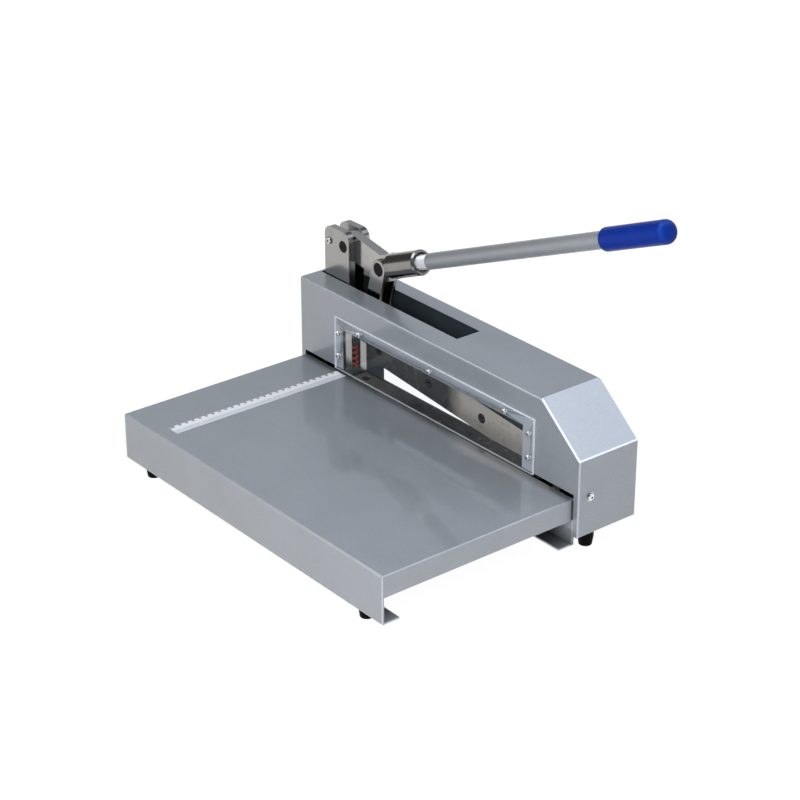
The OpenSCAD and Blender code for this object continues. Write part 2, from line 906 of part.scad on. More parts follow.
module cover() {
    notch = tray_w / 2 + notch_clear;
    place() color("silver") difference() {
        cover_block(0, cover_lift);
        cover_block(cover_sheet, cover_lift - past);
        // Notch over the table
        box([-notch, -past, cover_lift - past], [notch, cover_sheet + past, panel_bottom]);
        // Window in front of the blades
        box([window_x0, -past, cover_lift - past], [window_x1, cover_sheet + past, window_z]);
        // Slot for the posts, the links and the lever
        box([slot_inset - half, slot_y0, cover_top - 2 * cover_sheet],
            [slot_inset - half + slot_len, slot_y1, cover_top + past]);
        // Opening that offcuts leave by
        box([-back_open_w / 2, cover_depth - cover_sheet - past, cover_lift - past],
            [back_open_w / 2, cover_depth + past, cover_lift + back_open_h]);
        for (p = guard_holes)
            rod_y(p, -past, cover_sheet + past, guard_thread / 2 + small_fit);
        for (s = [-1, 1])
            translate([s * half, cover_screw_y, cover_screw_z])
                rotate([0, 90, 0])
                    cylinder(h = 4 * cover_sheet, r = m6 / 2 + hole_fit, center = true);
    }
}

module cover_brackets() {
    place() color("slategray")
        for (s = [-1, 1])
            mirror([s < 0 ? 1 : 0, 0, 0])
                difference() {
                    union() {
                        box([inner_half - bracket_t, cover_screw_y - bracket_w / 2, bed_top],
                            [inner_half, cover_screw_y + bracket_w / 2, cover_screw_z + bracket_above]);
                        box([inner_half - bracket_foot, cover_screw_y - bracket_w / 2, bed_top],
                            [inner_half, cover_screw_y + bracket_w / 2, bed_top + bracket_t]);
                    }
                    translate([inner_half - bracket_t / 2, cover_screw_y, cover_screw_z])
                        rotate([0, 90, 0])
                            cylinder(h = 2 * bracket_t, r = m6 / 2 + snug_fit, center = true);
                    translate([bracket_bolt_x, cover_screw_y, bed_top - past])
                        cylinder(h = bracket_t + 2 * past, r = m5 / 2 + hole_fit);
                }
}

module bracket_screws() {
    place() color("dimgray")
        for (s = [-1, 1])
            translate([s * bracket_bolt_x, cover_screw_y, bed_top + bracket_t])
                pan_screw(m5, bracket_t + bed_t);
}

module cover_screws() {
    place() color("silver")
        for (s = [-1, 1])
            translate([s * half, cover_screw_y, cover_screw_z])
                rotate([0, s * 90, 0])
                    pan_screw(m6, cover_sheet + 2 * bracket_t);
}

// Guard plate
module guard_plate() {
    place() color([0.8, 0.9, 0.95, 0.4])
        plate(-guard_t, guard_t) difference() {
            translate([guard_x - guard_w / 2, guard_bottom])
                square([guard_w, guard_h]);
            for (p = guard_holes)
                translate(p)
                    circle(guard_thread / 2 + small_fit);
        }
}

module guard_screws() {
    place() color("silver")
        for (p = guard_holes)
            translate([p[0], -guard_t, p[1]])
                rotate([90, 0, 0])
                    pan_screw(guard_thread, guard_t + cover_sheet + guard_thread, guard_head / guard_thread);
}

module guard_nuts() {
    place() color("silver")
        for (p = guard_holes)
            translate([p[0], cover_sheet, p[1]])
                rotate([-90, 0, 0])
                    hex_nut(guard_thread);
}

// Rubber feet
module foot(h) {
    difference() {
        cylinder(h = h, d1 = foot_d - foot_taper, d2 = foot_d);
        translate([0, 0, -past])
            cylinder(h = h + 2 * past, r = m5 / 2 + hole_fit);
        translate([0, 0, -past])
            cylinder(h = foot_recess + past, r = m5 + hole_fit);
    }
}

// Screw driven up through a foot's recess
module foot_screw(reach) {
    translate([0, 0, foot_recess])
        rotate([180, 0, 0])
            pan_screw(m5, reach - foot_recess);
}

module front_feet() {
    place() color([0.1, 0.1, 0.1])
        for (s = [-1, 1])
            translate([s * front_foot_x, front_foot_y, 0])
                foot(foot_h);
}

module rear_feet() {
    place() color([0.1, 0.1, 0.1])
        for (s = [-1, 1])
            translate([s * rear_foot_x, rear_foot_y, 0])
                foot(bed_bottom);
}

module front_foot_screws() {
    place() color("silver")
        for (s = [-1, 1])
            translate([s * front_foot_x, front_foot_y, 0])
                foot_screw(foot_h + tray_sheet + m5);
}

module front_foot_nuts() {
    place() color("silver")
        for (s = [-1, 1])
            translate([s * front_foot_x, front_foot_y, foot_h + tray_sheet])
                hex_nut(m5);
}

module rear_foot_screws() {
    place() color("silver")
        for (s = [-1, 1])
            translate([s * rear_foot_x, rear_foot_y, 0])
                foot_screw(bed_top - past);
}

// Lever: a flat block between the pivots that runs into a round socket for the handle
socket_chamfer = 2;
module lever() {
    r = lever_h / 2;
    side = r - waist;
    place() color("lightgray") difference() {
        union() {
            plate(tongue_y, lever_t) {
                translate(p1)
                    circle(r);
                translate(p2)
                    circle(r);
                translate(p1)
                    rotate(-arm_tilt)
                        translate([0, -side])
                            square([arm_len, 2 * side]);
                translate(p2)
                    rotate(handle_angle)
                        translate([0, -side])
                            square([socket_start + waist, 2 * side]);
            }
            handle_frame() {
                translate([0, 0, socket_start])
                    cylinder(h = socket_len - socket_chamfer, d = socket_d);
                translate([0, 0, socket_end - socket_chamfer])
                    cylinder(h = socket_chamfer, d1 = socket_d, d2 = socket_d - 2 * socket_chamfer);
            }
        }
        rod_y(p1, tongue_y - past, tongue_y + lever_t + past, bush_d / 2 + snug_fit);
        rod_y(p2, tongue_y - past, tongue_y + lever_t + past, upper_pin_d / 2 + snug_fit);
        handle_frame() {
            translate([0, 0, socket_end - thread_in - past])
                cylinder(h = thread_in + 2 * past, r = thread_d / 2 + snug_fit);
            translate([0, 0, socket_end - mouth_depth])
                cylinder(h = mouth_depth + past, d = mouth_d);
        }
    }
}

// Bronze bush about a pivot, as thick as the lever
module bush(p, bore_d) {
    difference() {
        rod_y(p, tongue_y, tongue_y + lever_t, bush_d / 2);
        rod_y(p, tongue_y - past, tongue_y + lever_t + past, bore_d / 2 + run_fit);
    }
}

module lever_bush() {
    place() color("peru")
        bush(p1, main_pin_d);
}

module handle_tube() {
    place() color("darkgray")
        handle_frame() difference() {
            union() {
                translate([0, 0, socket_end - thread_in])
                    cylinder(h = thread_in + thread_show, d = thread_d);
                translate([0, 0, tube_start])
                    cylinder(h = tube_show + grip_len - grip_cap - tube_end_clear, d = tube_d);
            }
            translate([0, 0, socket_end - thread_in - past])
                cylinder(h = grip_end - socket_end + thread_in, d = tube_d - 2 * tube_wall);
        }
}

module hand_grip() {
    r = grip_d / 2;
    place() color("royalblue")
        handle_frame()
            translate([0, 0, grip_start])
                difference() {
                    rotate_extrude() {
                        square([r, grip_len - grip_round]);
                        square([r - grip_round, grip_len]);
                        translate([r - grip_round, grip_len - grip_round])
                            intersection() {
                                circle(grip_round);
                                square(grip_round);
                            }
                    }
                    translate([0, 0, -past])
                        cylinder(h = grip_len - grip_cap + past, r = tube_d / 2 + snug_fit);
                }
}

// Links
module link(y) {
    side = link_w / 2 - waist;
    plate(y, link_t) difference() {
        union() {
            translate(p2)
                circle(link_w / 2);
            translate(p3)
                circle(link_w / 2);
            translate(p3)
                rotate(-link_tilt)
                    translate([-side, 0])
                        square([2 * side, link_len]);
        }
        translate(p2)
            circle(upper_pin_d / 2 + run_fit);
        translate(p3)
            circle(lower_pin_d / 2 + open_fit);
    }
}

module front_link() {
    place() color("lightgray")
        link(link_front_y);
}

module rear_link() {
    place() color("lightgray")
        link(link_rear_y);
}

module upper_link_pin() {
    place() color("black")
        pivot_pin(p2, link_front_y, link_rear_y + link_t, upper_pin_d / 2);
}

module upper_pin_clip() {
    place() color("dimgray")
        pin_clip(p2, link_rear_y + link_t, upper_pin_d / 2);
}

module lower_link_pin() {
    place() color("black")
        pivot_pin(p3, link_front_y, link_rear_y + link_t, lower_pin_d / 2);
}

module lower_pin_clip() {
    place() color("dimgray")
        pin_clip(p3, link_rear_y + link_t, lower_pin_d / 2);
}

// Blade holder: a bar with a thick part behind the blade, an eye at each pivot and a foot on the spring
module blade_holder() {
    bar_left = (lug_left - cross_x) / cos(blade_tilt);
    bar_right = (p4[0] - cross_x) / cos(blade_tilt);
    place() color("slategray") difference() {
        union() {
            blade_frame()
                box([pad_left, holder_y, holder_raise + waist],
                    [edge_right - pad_end, mech_y, blade_h - waist]);
            plate(tongue_y, lever_t) {
                translate([cross_x, table_h])
                    rotate(-blade_tilt)
                        translate([bar_left, holder_raise])
                            square([bar_right - bar_left, blade_h - holder_raise]);
                translate(p3)
                    circle(link_eye_r);
                translate(p3 - [link_eye_r - waist, 2 * link_eye_r])
                    square([2 * (link_eye_r - waist), 2 * link_eye_r]);
                translate(p4)
                    circle(pivot_eye_r);
                translate([lug_left, lug_bottom])
                    square([lug_right - lug_left, lug_h]);
            }
        }
        rod_y(p3, tongue_y - past, tongue_y + lever_t + past, lower_pin_d / 2 + snug_fit);
        rod_y(p4, tongue_y - past, tongue_y + lever_t + past, bush_d / 2 + snug_fit);
        blade_frame()
            for (u = blade_bolt_u)
                rod_y([u, blade_h / 2], holder_y - past, holder_y + bite + past, m8 / 2 + snug_fit);
    }
}

module pivot_bush() {
    place() color("peru")
        bush(p4, pivot_d);
}

// Upper blade with its bolts' heads sunk below its face
blade_head = m8 / 2;
module upper_blade() {
    place() color("lightsteelblue")
        blade_frame() difference() {
            box([edge_left, shear_y, 0], [edge_right, holder_y, blade_h]);
            for (u = blade_bolt_u) {
                rod_y([u, blade_h / 2], shear_y - past, holder_y + past, m8 / 2 + hole_fit);
                rod_y([u, blade_h / 2], shear_y - past, shear_y + head_sink + blade_head,
                    cap_head_r * m8 + hole_fit);
            }
        }
}

module blade_bolts() {
    place() color("black")
        blade_frame()
            for (u = blade_bolt_u)
                translate([u, shear_y + head_sink + blade_head, blade_h / 2])
                    rotate([90, 0, 0])
                        socket_bolt(m8, blade_head, blade_t - head_sink - blade_head + bite);
}

base_tray();
scale_ruler();
tray_bolts();
bed_plate();
bed_rail();
rail_bolts();
lower_blade();
lower_blade_screws();
front_post();
rear_post();
post_bolts();
post_spacer();
post_tie_screw();
post_tie_nut();
main_pivot_pin();
main_pin_clip();
front_pivot_plate();
rear_pivot_plate();
plate_bolts();
blade_pivot_bolt();
blade_pivot_nut();
spring_seat();
return_spring();
cover();
cover_brackets();
bracket_screws();
cover_screws();
guard_plate();
guard_screws();
guard_nuts();
front_feet();
rear_feet();
front_foot_screws();
front_foot_nuts();
rear_foot_screws();
lever();
lever_bush();
handle_tube();
hand_grip();
upper_link_pin();
upper_pin_clip();
front_link();
rear_link();
blade_holder();
pivot_bush();
upper_blade();
blade_bolts();
lower_link_pin();
lower_pin_clip();
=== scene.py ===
"""Looks of a manual shearing machine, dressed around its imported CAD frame.

The sub-assemblies' sizes are millimetres in the machine's working frame: X from the cover's middle, Y from
the cover's front face to the back, Z up from the floor. Meshes, finishes, bevels and lamps are in metres, in
the frame's own axes.
"""

import json
import logging
import math
from collections.abc import Callable, Iterable, Sequence
from dataclasses import dataclass
from enum import Enum
from typing import ClassVar, Union

import bmesh
import bpy
from mathutils import Matrix, Vector


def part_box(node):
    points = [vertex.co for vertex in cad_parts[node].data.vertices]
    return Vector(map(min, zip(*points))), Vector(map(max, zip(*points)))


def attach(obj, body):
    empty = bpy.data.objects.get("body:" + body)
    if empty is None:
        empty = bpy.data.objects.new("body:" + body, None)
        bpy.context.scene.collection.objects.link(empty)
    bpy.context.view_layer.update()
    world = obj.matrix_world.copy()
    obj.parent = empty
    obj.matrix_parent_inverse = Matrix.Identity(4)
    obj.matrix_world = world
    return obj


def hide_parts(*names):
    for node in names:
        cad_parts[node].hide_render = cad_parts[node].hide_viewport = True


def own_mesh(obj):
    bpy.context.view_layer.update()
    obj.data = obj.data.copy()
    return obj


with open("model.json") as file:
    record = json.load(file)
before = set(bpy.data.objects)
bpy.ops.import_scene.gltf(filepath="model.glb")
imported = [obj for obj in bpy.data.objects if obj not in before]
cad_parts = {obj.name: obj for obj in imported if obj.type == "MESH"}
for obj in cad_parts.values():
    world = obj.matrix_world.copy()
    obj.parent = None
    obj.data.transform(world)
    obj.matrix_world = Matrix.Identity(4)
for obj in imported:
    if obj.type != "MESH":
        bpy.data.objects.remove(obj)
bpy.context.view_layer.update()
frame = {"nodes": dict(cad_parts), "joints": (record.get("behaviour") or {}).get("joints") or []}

log = logging.getLogger("shearing_machine")

Colour = tuple[float, float, float]
Triple = tuple[float, float, float]
Profile = Sequence[tuple[float, float]]
Term = Union["Field", float]

MM = 0.001
MASK_BLUR = 0.0003
WELD_REACH = 1e-7
EDGE_TURN = 30.0
SQUARE = 0.9
WHITE = (1.0, 1.0, 1.0, 1.0)
UP = Vector((0.0, 0.0, 1.0))
DOWN = Vector((0.0, 0.0, -1.0))
AHEAD = Vector((0.0, -1.0, 0.0))
BACK = Vector((0.0, 1.0, 0.0))


class Body(str, Enum):
    """The CAD bodies that the pieces made here ride on."""

    FRAME = "frame"
    LEVER = "lever"
    BLADE = "blade"


class Field:
    """A shader value that Python expressions can be written on."""

    def __init__(self, tree: "ShaderTree", socket: bpy.types.NodeSocket) -> None:
        """Keeps the tree and the socket that carries the value."""
        self.tree = tree
        self.socket = socket

    def _math(self, operation: str, *terms: Term) -> "Field":
        """Adds one Math node on the given terms."""
        return self.tree.node("ShaderNodeMath", {"operation": operation}, dict(enumerate(terms)))

    def __add__(self, other: Term) -> "Field":
        """This value plus another."""
        return self._math("ADD", self, other)

    def __radd__(self, other: Term) -> "Field":
        """A number plus this value."""
        return self._math("ADD", other, self)

    def __sub__(self, other: Term) -> "Field":
        """This value minus another."""
        return self._math("SUBTRACT", self, other)

    def __rsub__(self, other: Term) -> "Field":
        """A number minus this value."""
        return self._math("SUBTRACT", other, self)

    def __mul__(self, other: Term) -> "Field":
        """This value times another."""
        return self._math("MULTIPLY", self, other)

    def __rmul__(self, other: Term) -> "Field":
        """A number times this value."""
        return self._math("MULTIPLY", other, self)

    def __pow__(self, other: Term) -> "Field":
        """This value to a power."""
        return self._math("POWER", self, other)

    def __rpow__(self, other: Term) -> "Field":
        """A number to the power of this value."""
        return self._math("POWER", other, self)

    def clamped(self) -> "Field":
        """This value held between 0 and 1."""
        return self.tree.node("ShaderNodeClamp", {}, {0: self})

    def size(self) -> "Field":
        """This value without its sign."""
        return self._math("ABSOLUTE", self)

    def larger(self, other: Term) -> "Field":
        """The larger of this value and another."""
        return self._math("MAXIMUM", self, other)


class ShaderTree:
    """The node tree of a material or a world, and the nodes that finishes are made of."""

    def __init__(self, owner: Union[bpy.types.Material, bpy.types.World]) -> None:
        """Empties the owner's tree, so that every node in it is made here.

        Args:
            owner: the material or world.
        """
        owner.use_nodes = True
        self.nodes = owner.node_tree.nodes
        self.links = owner.node_tree.links
        self.nodes.clear()

    def add(self, kind: str, settings: dict, inputs: dict) -> bpy.types.Node:
        """Adds a node.

        Args:
            kind: the node's type.
            settings: its own settings, set first.
            inputs: values or links, by the sockets' numbers or names.

        Returns:
            The node.
        """
        made = self.nodes.new(kind)
        for key, value in settings.items():
            setattr(made, key, value)
        for key, value in inputs.items():
            if isinstance(value, Field):
                self.links.new(value.socket, made.inputs[key])
            else:
                made.inputs[key].default_value = value
        return made

    def node(self, kind: str, settings: dict, inputs: dict, out: Union[int, str] = 0) -> Field:
        """The wanted output of a node that is added."""
        return Field(self, self.add(kind, settings, inputs).outputs[out])

    def coordinate(self, name: str) -> Field:
        """One of the piece's coordinates, such as Object, Normal or Generated."""
        return self.node("ShaderNodeTexCoord", {}, {}, name)

    def part(self, vector: Field, axis: int) -> Field:
        """A vector's part along one axis."""
        return self.node("ShaderNodeSeparateXYZ", {}, {0: vector}, axis)

    def ray(self, kind: str) -> Field:
        """1 for rays of one kind, by the Light Path node's own name for it, and 0 for the rest."""
        return self.node("ShaderNodeLightPath", {}, {}, kind)

    def spot(self, stretch: Triple = (1.0, 1.0, 1.0)) -> Field:
        """The place on the piece in metres, times a stretch along each axis."""
        inputs = {0: self.coordinate("Object"), 1: stretch}
        return self.node("ShaderNodeVectorMath", {"operation": "MULTIPLY"}, inputs)

    def along(self, axis: int) -> Field:
        """The place on the piece along one axis, in metres."""
        return self.part(self.spot(), axis)

    def noise(self, scale: float, detail: float = 2.0, stretch: Triple = (1.0, 1.0, 1.0)) -> Field:
        """Soft noise from 0 to 1 with so many lumps to the metre."""
        inputs = {"Vector": self.spot(stretch), "Scale": scale, "Detail": detail}
        return self.node("ShaderNodeTexNoise", {}, inputs)

    def grains(self, scale: float) -> Field:
        """A random level from 0 to 1 for each small cell."""
        inputs = {"Vector": self.spot(), "Scale": scale}
        return self.part(self.node("ShaderNodeTexVoronoi", {}, inputs, "Color"), 0)

    def level(self, value: Field, low: float, high: float) -> Field:
        """The share of the way that a value has come from low to high."""
        inputs = {0: value, 1: low, 2: high}
        return self.node("ShaderNodeMapRange", {"interpolation_type": "SMOOTHSTEP"}, inputs)

    def tint(self, share: Term, first: Union[Field, Colour], second: Union[Field, Colour]) -> Field:
        """A colour between two.

        Args:
            share: how much of the second there is, from 0 to 1.
            first: the first colour.
            second: the second colour.

        Returns:
            The mixed colour.
        """
        ends = [c if isinstance(c, Field) else (*c, 1.0) for c in (first, second)]
        inputs = {0: share, 6: ends[0], 7: ends[1]}
        return self.node("ShaderNodeMix", {"data_type": "RGBA"}, inputs, 2)

    def edges(self, radius: float, gain: float) -> Field:
        """A mask along the edges.

        Args:
            radius: how far from an edge it reaches, in metres.
            gain: how soon it comes to 1.

        Returns:
            1 along convex and concave edges, and 0 on the flats.
        """
        round_off = self.node("ShaderNodeBevel", {"samples": 4}, {"Radius": radius})
        same = self.dot(round_off, self.node("ShaderNodeNewGeometry", {}, {}, "Normal"))
        return ((1.0 - same) * gain).clamped()

    def dot(self, first: Field, second: Union[Field, Triple]) -> Field:
        """The dot product of two directions."""
        return self.node("ShaderNodeVectorMath", {"operation": "DOT_PRODUCT"}, {0: first, 1: second}, "Value")

    def hidden(self, distance: float, own: bool) -> Field:
        """How far a place is shut in by what is near it, or by its own piece only, from 0 to 1."""
        settings = {"samples": 8, "only_local": own}
        return 1.0 - self.node("ShaderNodeAmbientOcclusion", settings, {"Distance": distance}, "AO")

    def facing(self, axis: int) -> Field:
        """How far a place looks along one axis of its piece, from -1 to 1."""
        return self.part(self.coordinate("Normal"), axis)

    def within(self, low: Vector, high: Vector) -> Field:
        """A mask for a box.

        Args:
            low: the box's lowest corner, in metres.
            high: its highest corner.

        Returns:
            1 on the piece inside the box, and 0 outside it.
        """
        mask: Term = 1.0
        for axis in range(3):
            place = self.along(axis)
            mask = mask * self.level(place, low[axis] - MASK_BLUR, low[axis] + MASK_BLUR)
            mask = mask * (1.0 - self.level(place, high[axis] - MASK_BLUR, high[axis] + MASK_BLUR))
        return mask

    def relief(self, height: Field, depth: float, strength: float = 1.0) -> Field:
        """A normal that follows a height from 0 to 1, depth metres deep."""
        inputs = {"Height": height, "Distance": depth, "Strength": strength}
        return self.node("ShaderNodeBump", {}, inputs)

    def surface(self, **sockets: Union[Field, float, Colour]) -> Field:
        """The Principled shader.

        Args:
            sockets: values or links, by the sockets' names with underscores for spaces.

        Returns:
            The shader.
        """
        inputs = {}
        for name, value in sockets.items():
            colour = isinstance(value, tuple) and len(value) == 3
            inputs[name.replace("_", " ")] = (*value, 1.0) if colour else value
        return self.node("ShaderNodeBsdfPrincipled", {}, inputs)

    def blend(self, share: Term, first: Field, second: Field) -> Field:
        """A shader between two, by a share from 0 to 1."""
        return self.node("ShaderNodeMixShader", {}, {0: share, 1: first, 2: second})

    def seen(self) -> Field:
        """1 for rays from the camera, off a gloss or through glass, and 0 for the rest."""
        outer = self.ray("Is Camera Ray").larger(self.ray("Is Glossy Ray"))
        return outer.larger(self.ray("Is Transmission Ray"))

    def show(self, shader: Field, kind: str = "ShaderNodeOutputMaterial") -> None:
        """Ends the tree in its output node."""
        self.add(kind, {}, {"Surface": shader})


class Finish:
    """A surface finish, made once and then shared."""

    made: ClassVar[dict[str, bpy.types.Material]] = {}
    name: str

    def dress(self, tree: ShaderTree) -> None:
        """Fills the material's tree."""
        raise NotImplementedError

    def material(self) -> bpy.types.Material:
        """Makes the finish the first time, and shares it from then on.

        Returns:
            The Blender material.
        """
        if self.name not in Finish.made:
            made = bpy.data.materials.new(self.name)
            self.dress(ShaderTree(made))
            Finish.made[self.name] = made
        return Finish.made[self.name]


@dataclass(frozen=True)
class FlakePaint(Finish):
    """Baked silver-grey enamel with fine flakes, a faint orange peel, a painted highlight along its edges and
    painted shade where it shuts itself in.
    """

    name: str = "flake_paint"
    dark: Colour = (0.236, 0.260, 0.297)
    light: Colour = (0.364, 0.392, 0.438)
    # the colour of the painted highlight on edges and bends
    edge: Colour = (0.78, 0.82, 0.88)
    metal: float = 0.30
    rough: float = 0.40
    peel: float = 0.00004
    edge_highlight_radius: float = 0.0016
    edge_highlight_gain: float = 2.4
    coat: float = 1.0
    coat_rough: float = 0.06
    shade: Colour = (0.012, 0.014, 0.017)
    flakes: float = 1500.0
    clouds: float = 16.0
    dimples: float = 420.0
    mixed: Triple = (0.40, 0.45, 0.25)
    shut_reach: float = 0.07

    def dress(self, tree: ShaderTree) -> None:
        """Mixes flakes, clouds, a painted highlight along the edges and painted shade where the piece shuts
        itself in.

        Args:
            tree: the material\'s empty tree.
        """
        flake = tree.grains(self.flakes)
        cloud = tree.noise(self.clouds, 3.0)
        dimple = tree.noise(self.dimples, 2.0)
        share: Term = 0.5
        for change, reach in zip((flake, cloud, dimple), self.mixed):
            share = share + (change - 0.5) * reach
        base = tree.tint(share.clamped(), self.dark, self.light)
        # painted highlight: a paler colour along the edges and bends
        edge = tree.edges(self.edge_highlight_radius, self.edge_highlight_gain)
        base = tree.tint(edge * 0.8, self.ground(tree, base), self.edge)
        # painted shade where the piece shuts itself in
        shut = tree.level(tree.hidden(self.shut_reach, True), 0.25, 0.85)
        base = tree.tint(shut * 0.88, base, self.shade)
        rough = self.rough + (cloud - 0.5) * 0.12 + (flake - 0.5) * 0.10
        normal = tree.relief(dimple * 0.8 + flake * 0.2, self.peel)
        tree.show(tree.surface(
            Base_Color=base, Roughness=rough, Metallic=self.metal, Normal=normal,
            Coat_Weight=self.coat, Coat_Roughness=self.coat_rough,
        ))

    def ground(self, tree: ShaderTree, base: Field) -> Field:
        """The paint's colour before the painted edge highlight and the painted shade."""
        return base


@dataclass(frozen=True)
class CoverPaint(FlakePaint):
    """The cover's enamel, with a painted highlight on the bends and along the ends' edges, and paler where
    the clear plate lies on it.
    """

    name: str = "cover_paint"
    low: Triple = (0.0, 0.0, 0.0)
    high: Triple = (0.0, 0.0, 0.0)
    paler_under_plate: Colour = (0.485, 0.53, 0.595)
    front: float = 0.0
    knee: float = 0.126
    line: float = 0.0042

    def ground(self, tree: ShaderTree, base: Field) -> Field:
        """Adds the paler field under the clear plate, a thin painted highlight line on the long bend and a
        painted highlight along the ends' edges.

        Args:
            tree: the material's tree.
            base: the colour so far.

        Returns:
            The new colour.
        """
        # paler where the clear plate lies on the cover
        base = tree.tint(tree.within(Vector(self.low), Vector(self.high)) * 0.8, base, self.paler_under_plate)
        x, y = tree.facing(0).size(), tree.facing(1)
        # painted highlight on the rounded bends, found by the normal
        bend = tree.level(y * y * (1.0 - y * y) * 4.0, 0.45, 0.98) * 0.42
        # painted highlight along the slope's edges and the end panels' edges
        slant = tree.level(x, 0.5, 0.6) * (1.0 - tree.level(x, 0.7, 0.8))
        near = 1.0 - tree.level(tree.along(1), self.front + self.line * 0.4, self.front + self.line)
        low = 1.0 - tree.level(tree.along(2), self.knee + self.line * 0.15, self.knee + self.line * 0.5)
        end = tree.level(x, 0.7, 0.8) * near * 0.45
        # all of the cover's painted highlight together
        wear_and_highlight = bend.larger(end).larger(slant * near.larger(low * 0.8))
        return tree.tint(wear_and_highlight.clamped(), base, self.edge)


@dataclass(frozen=True)
class TrayPaint(FlakePaint):
    """The table's enamel, with a painted highlight along its front, and painted shade where it goes under the
    cover and on its flanges.
    """

    name: str = "tray_paint"
    middle: float = 0.0
    half: float = 0.0
    front: float = 0.0
    back: float = 0.0
    top: float = 0.0
    line: float = 0.0026

    def ground(self, tree: ShaderTree, base: Field) -> Field:
        """Adds a painted highlight along the front edges, a painted shadow line and painted shade at the
        cover, and painted shade on the shut-in flanges.

        Args:
            tree: the material's tree.
            base: the colour so far.

        Returns:
            The new colour.
        """
        y, z = tree.along(1), tree.along(2)
        out = (tree.along(0) - self.middle).size()
        flat = tree.level(tree.facing(2), 0.7, 0.9)
        ahead = tree.level(tree.facing(1) * -1.0, 0.7, 0.9)
        high = tree.level(z, self.top - self.line, self.top - self.line * 0.3)
        # painted highlight along the front bend and the front corners
        lip = flat * high * (1.0 - tree.level(y, self.front + self.line * 0.3, self.front + self.line))
        corner = ahead * tree.level(out, self.half - self.line, self.half - self.line * 0.3)
        base = tree.tint(lip.larger(ahead * high).larger(corner) * 0.55, base, self.edge)
        # painted shadow line on the side faces where they meet the cover, painted shade near the cover and on
        # the flanges under the table
        side = tree.level(tree.facing(0).size(), 0.7, 0.9)
        gap_shadow = side * tree.level(y, self.back - 0.0045, self.back - 0.0015)
        near = flat * high * tree.level(y, self.back - 0.016, self.back) * 0.55
        low = flat * (1.0 - tree.level(z, self.top * 0.35, self.top * 0.4))
        shut = low * (1.0 - tree.level(out, self.half - 0.045, self.half + 0.012)) * 0.9
        return tree.tint(gap_shadow.larger(near).larger(shut), base, self.shade)


@dataclass(frozen=True)
class BrushedSteel(Finish):
    """Bare or plated steel with grinding lines across it, and painted shade in its corners."""

    name: str
    colour: Colour
    # the darker mottling tone, and the base of the painted shade
    grime_and_shade: Colour
    rough: float = 0.26
    grain: Triple = (1.0, 1.0, 1.0)
    lines: float = 0.00001
    mottle: float = 0.35
    metal: float = 1.0
    shine: float = 0.5
    # how strongly the rounded rims between top and side are painted dark, as painted shade
    rim: float = 0.0
    clouds: float = 60.0
    spots: float = 520.0
    corner_reach: float = 0.012

    def dress(self, tree: ShaderTree) -> None:
        """Mixes grinding lines, soft mottling, painted shade in the corners and a painted dark band on the
        rounded rims.

        Args:
            tree: the material\'s empty tree.
        """
        line = tree.noise(1.0, 3.0, self.grain)
        cloud = tree.noise(self.clouds, 4.0)
        spot = tree.noise(self.spots, 2.0)
        share = (cloud - 0.45) * self.mottle * 2.0 + (spot - 0.5) * self.mottle
        base = tree.tint(share.clamped(), self.colour, self.grime_and_shade)
        painted_shade = tuple(c * 0.2 for c in self.grime_and_shade)
        # painted shade in the corners, by ambient occlusion
        corner = tree.level(tree.hidden(self.corner_reach, False), 0.45, 0.95)
        base = tree.tint(corner * 0.85, base, painted_shade)
        if self.rim:
            # painted shade on the rounded rims between the top and the sides
            x = tree.facing(0).size()
            turn = tree.level(x, 0.12, 0.35) * (1.0 - tree.level(x, 0.90, 0.98))
            turn = turn * (1.0 - tree.level(tree.facing(1).size(), 0.2, 0.6))
            base = tree.tint(turn * self.rim, base, painted_shade)
        rough = self.rough + (line - 0.5) * 0.16 + (cloud - 0.5) * 0.12
        normal = tree.relief(line, self.lines)
        tree.show(tree.surface(
            Base_Color=base, Roughness=rough.clamped(), Metallic=self.metal, Normal=normal,
            Specular_IOR_Level=self.shine,
        ))


@dataclass(frozen=True)
class BladeSteel(Finish):
    """Ground blade steel with a painted reflection: bright towards one end and painted dark towards the
    other.
    """

    name: str = "ground_blade"
    bright: Colour = (0.66, 0.61, 0.54)
    painted_dark_end: Colour = (0.045, 0.043, 0.042)
    turn: tuple[float, float] = (-0.045, 0.0)
    shine: float = 0.5
    metal: float = 0.55
    grain: Triple = (1900.0, 300.0, 22.0)
    lines: float = 0.000012
    clouds: float = 38.0
    stains: float = 150.0
    stained: Colour = (0.20, 0.18, 0.155)

    def dress(self, tree: ShaderTree) -> None:
        """Mixes cross-ground lines with the painted dark end, which stops in a soft, uneven front.

        Args:
            tree: the material\'s empty tree.
        """
        line = tree.noise(1.0, 4.0, self.grain)
        cloud = tree.noise(self.clouds, 4.0)
        stain = tree.noise(self.stains, 3.0)
        # painted reflection: a gradient along X from the dark end to the bright end
        front = tree.along(0) + (cloud - 0.5) * 0.035
        share = tree.level(front, *self.turn)
        base = tree.tint(share, self.painted_dark_end, self.bright)
        base = tree.tint(((stain - 0.56) * 2.2).clamped(), base, self.stained)
        rough = 0.42 - share * 0.10 + (line - 0.5) * 0.18
        normal = tree.relief(line, self.lines)
        tree.show(tree.surface(
            Base_Color=base, Roughness=rough, Metallic=self.metal, Normal=normal,
            Specular_IOR_Level=self.shine,
        ))


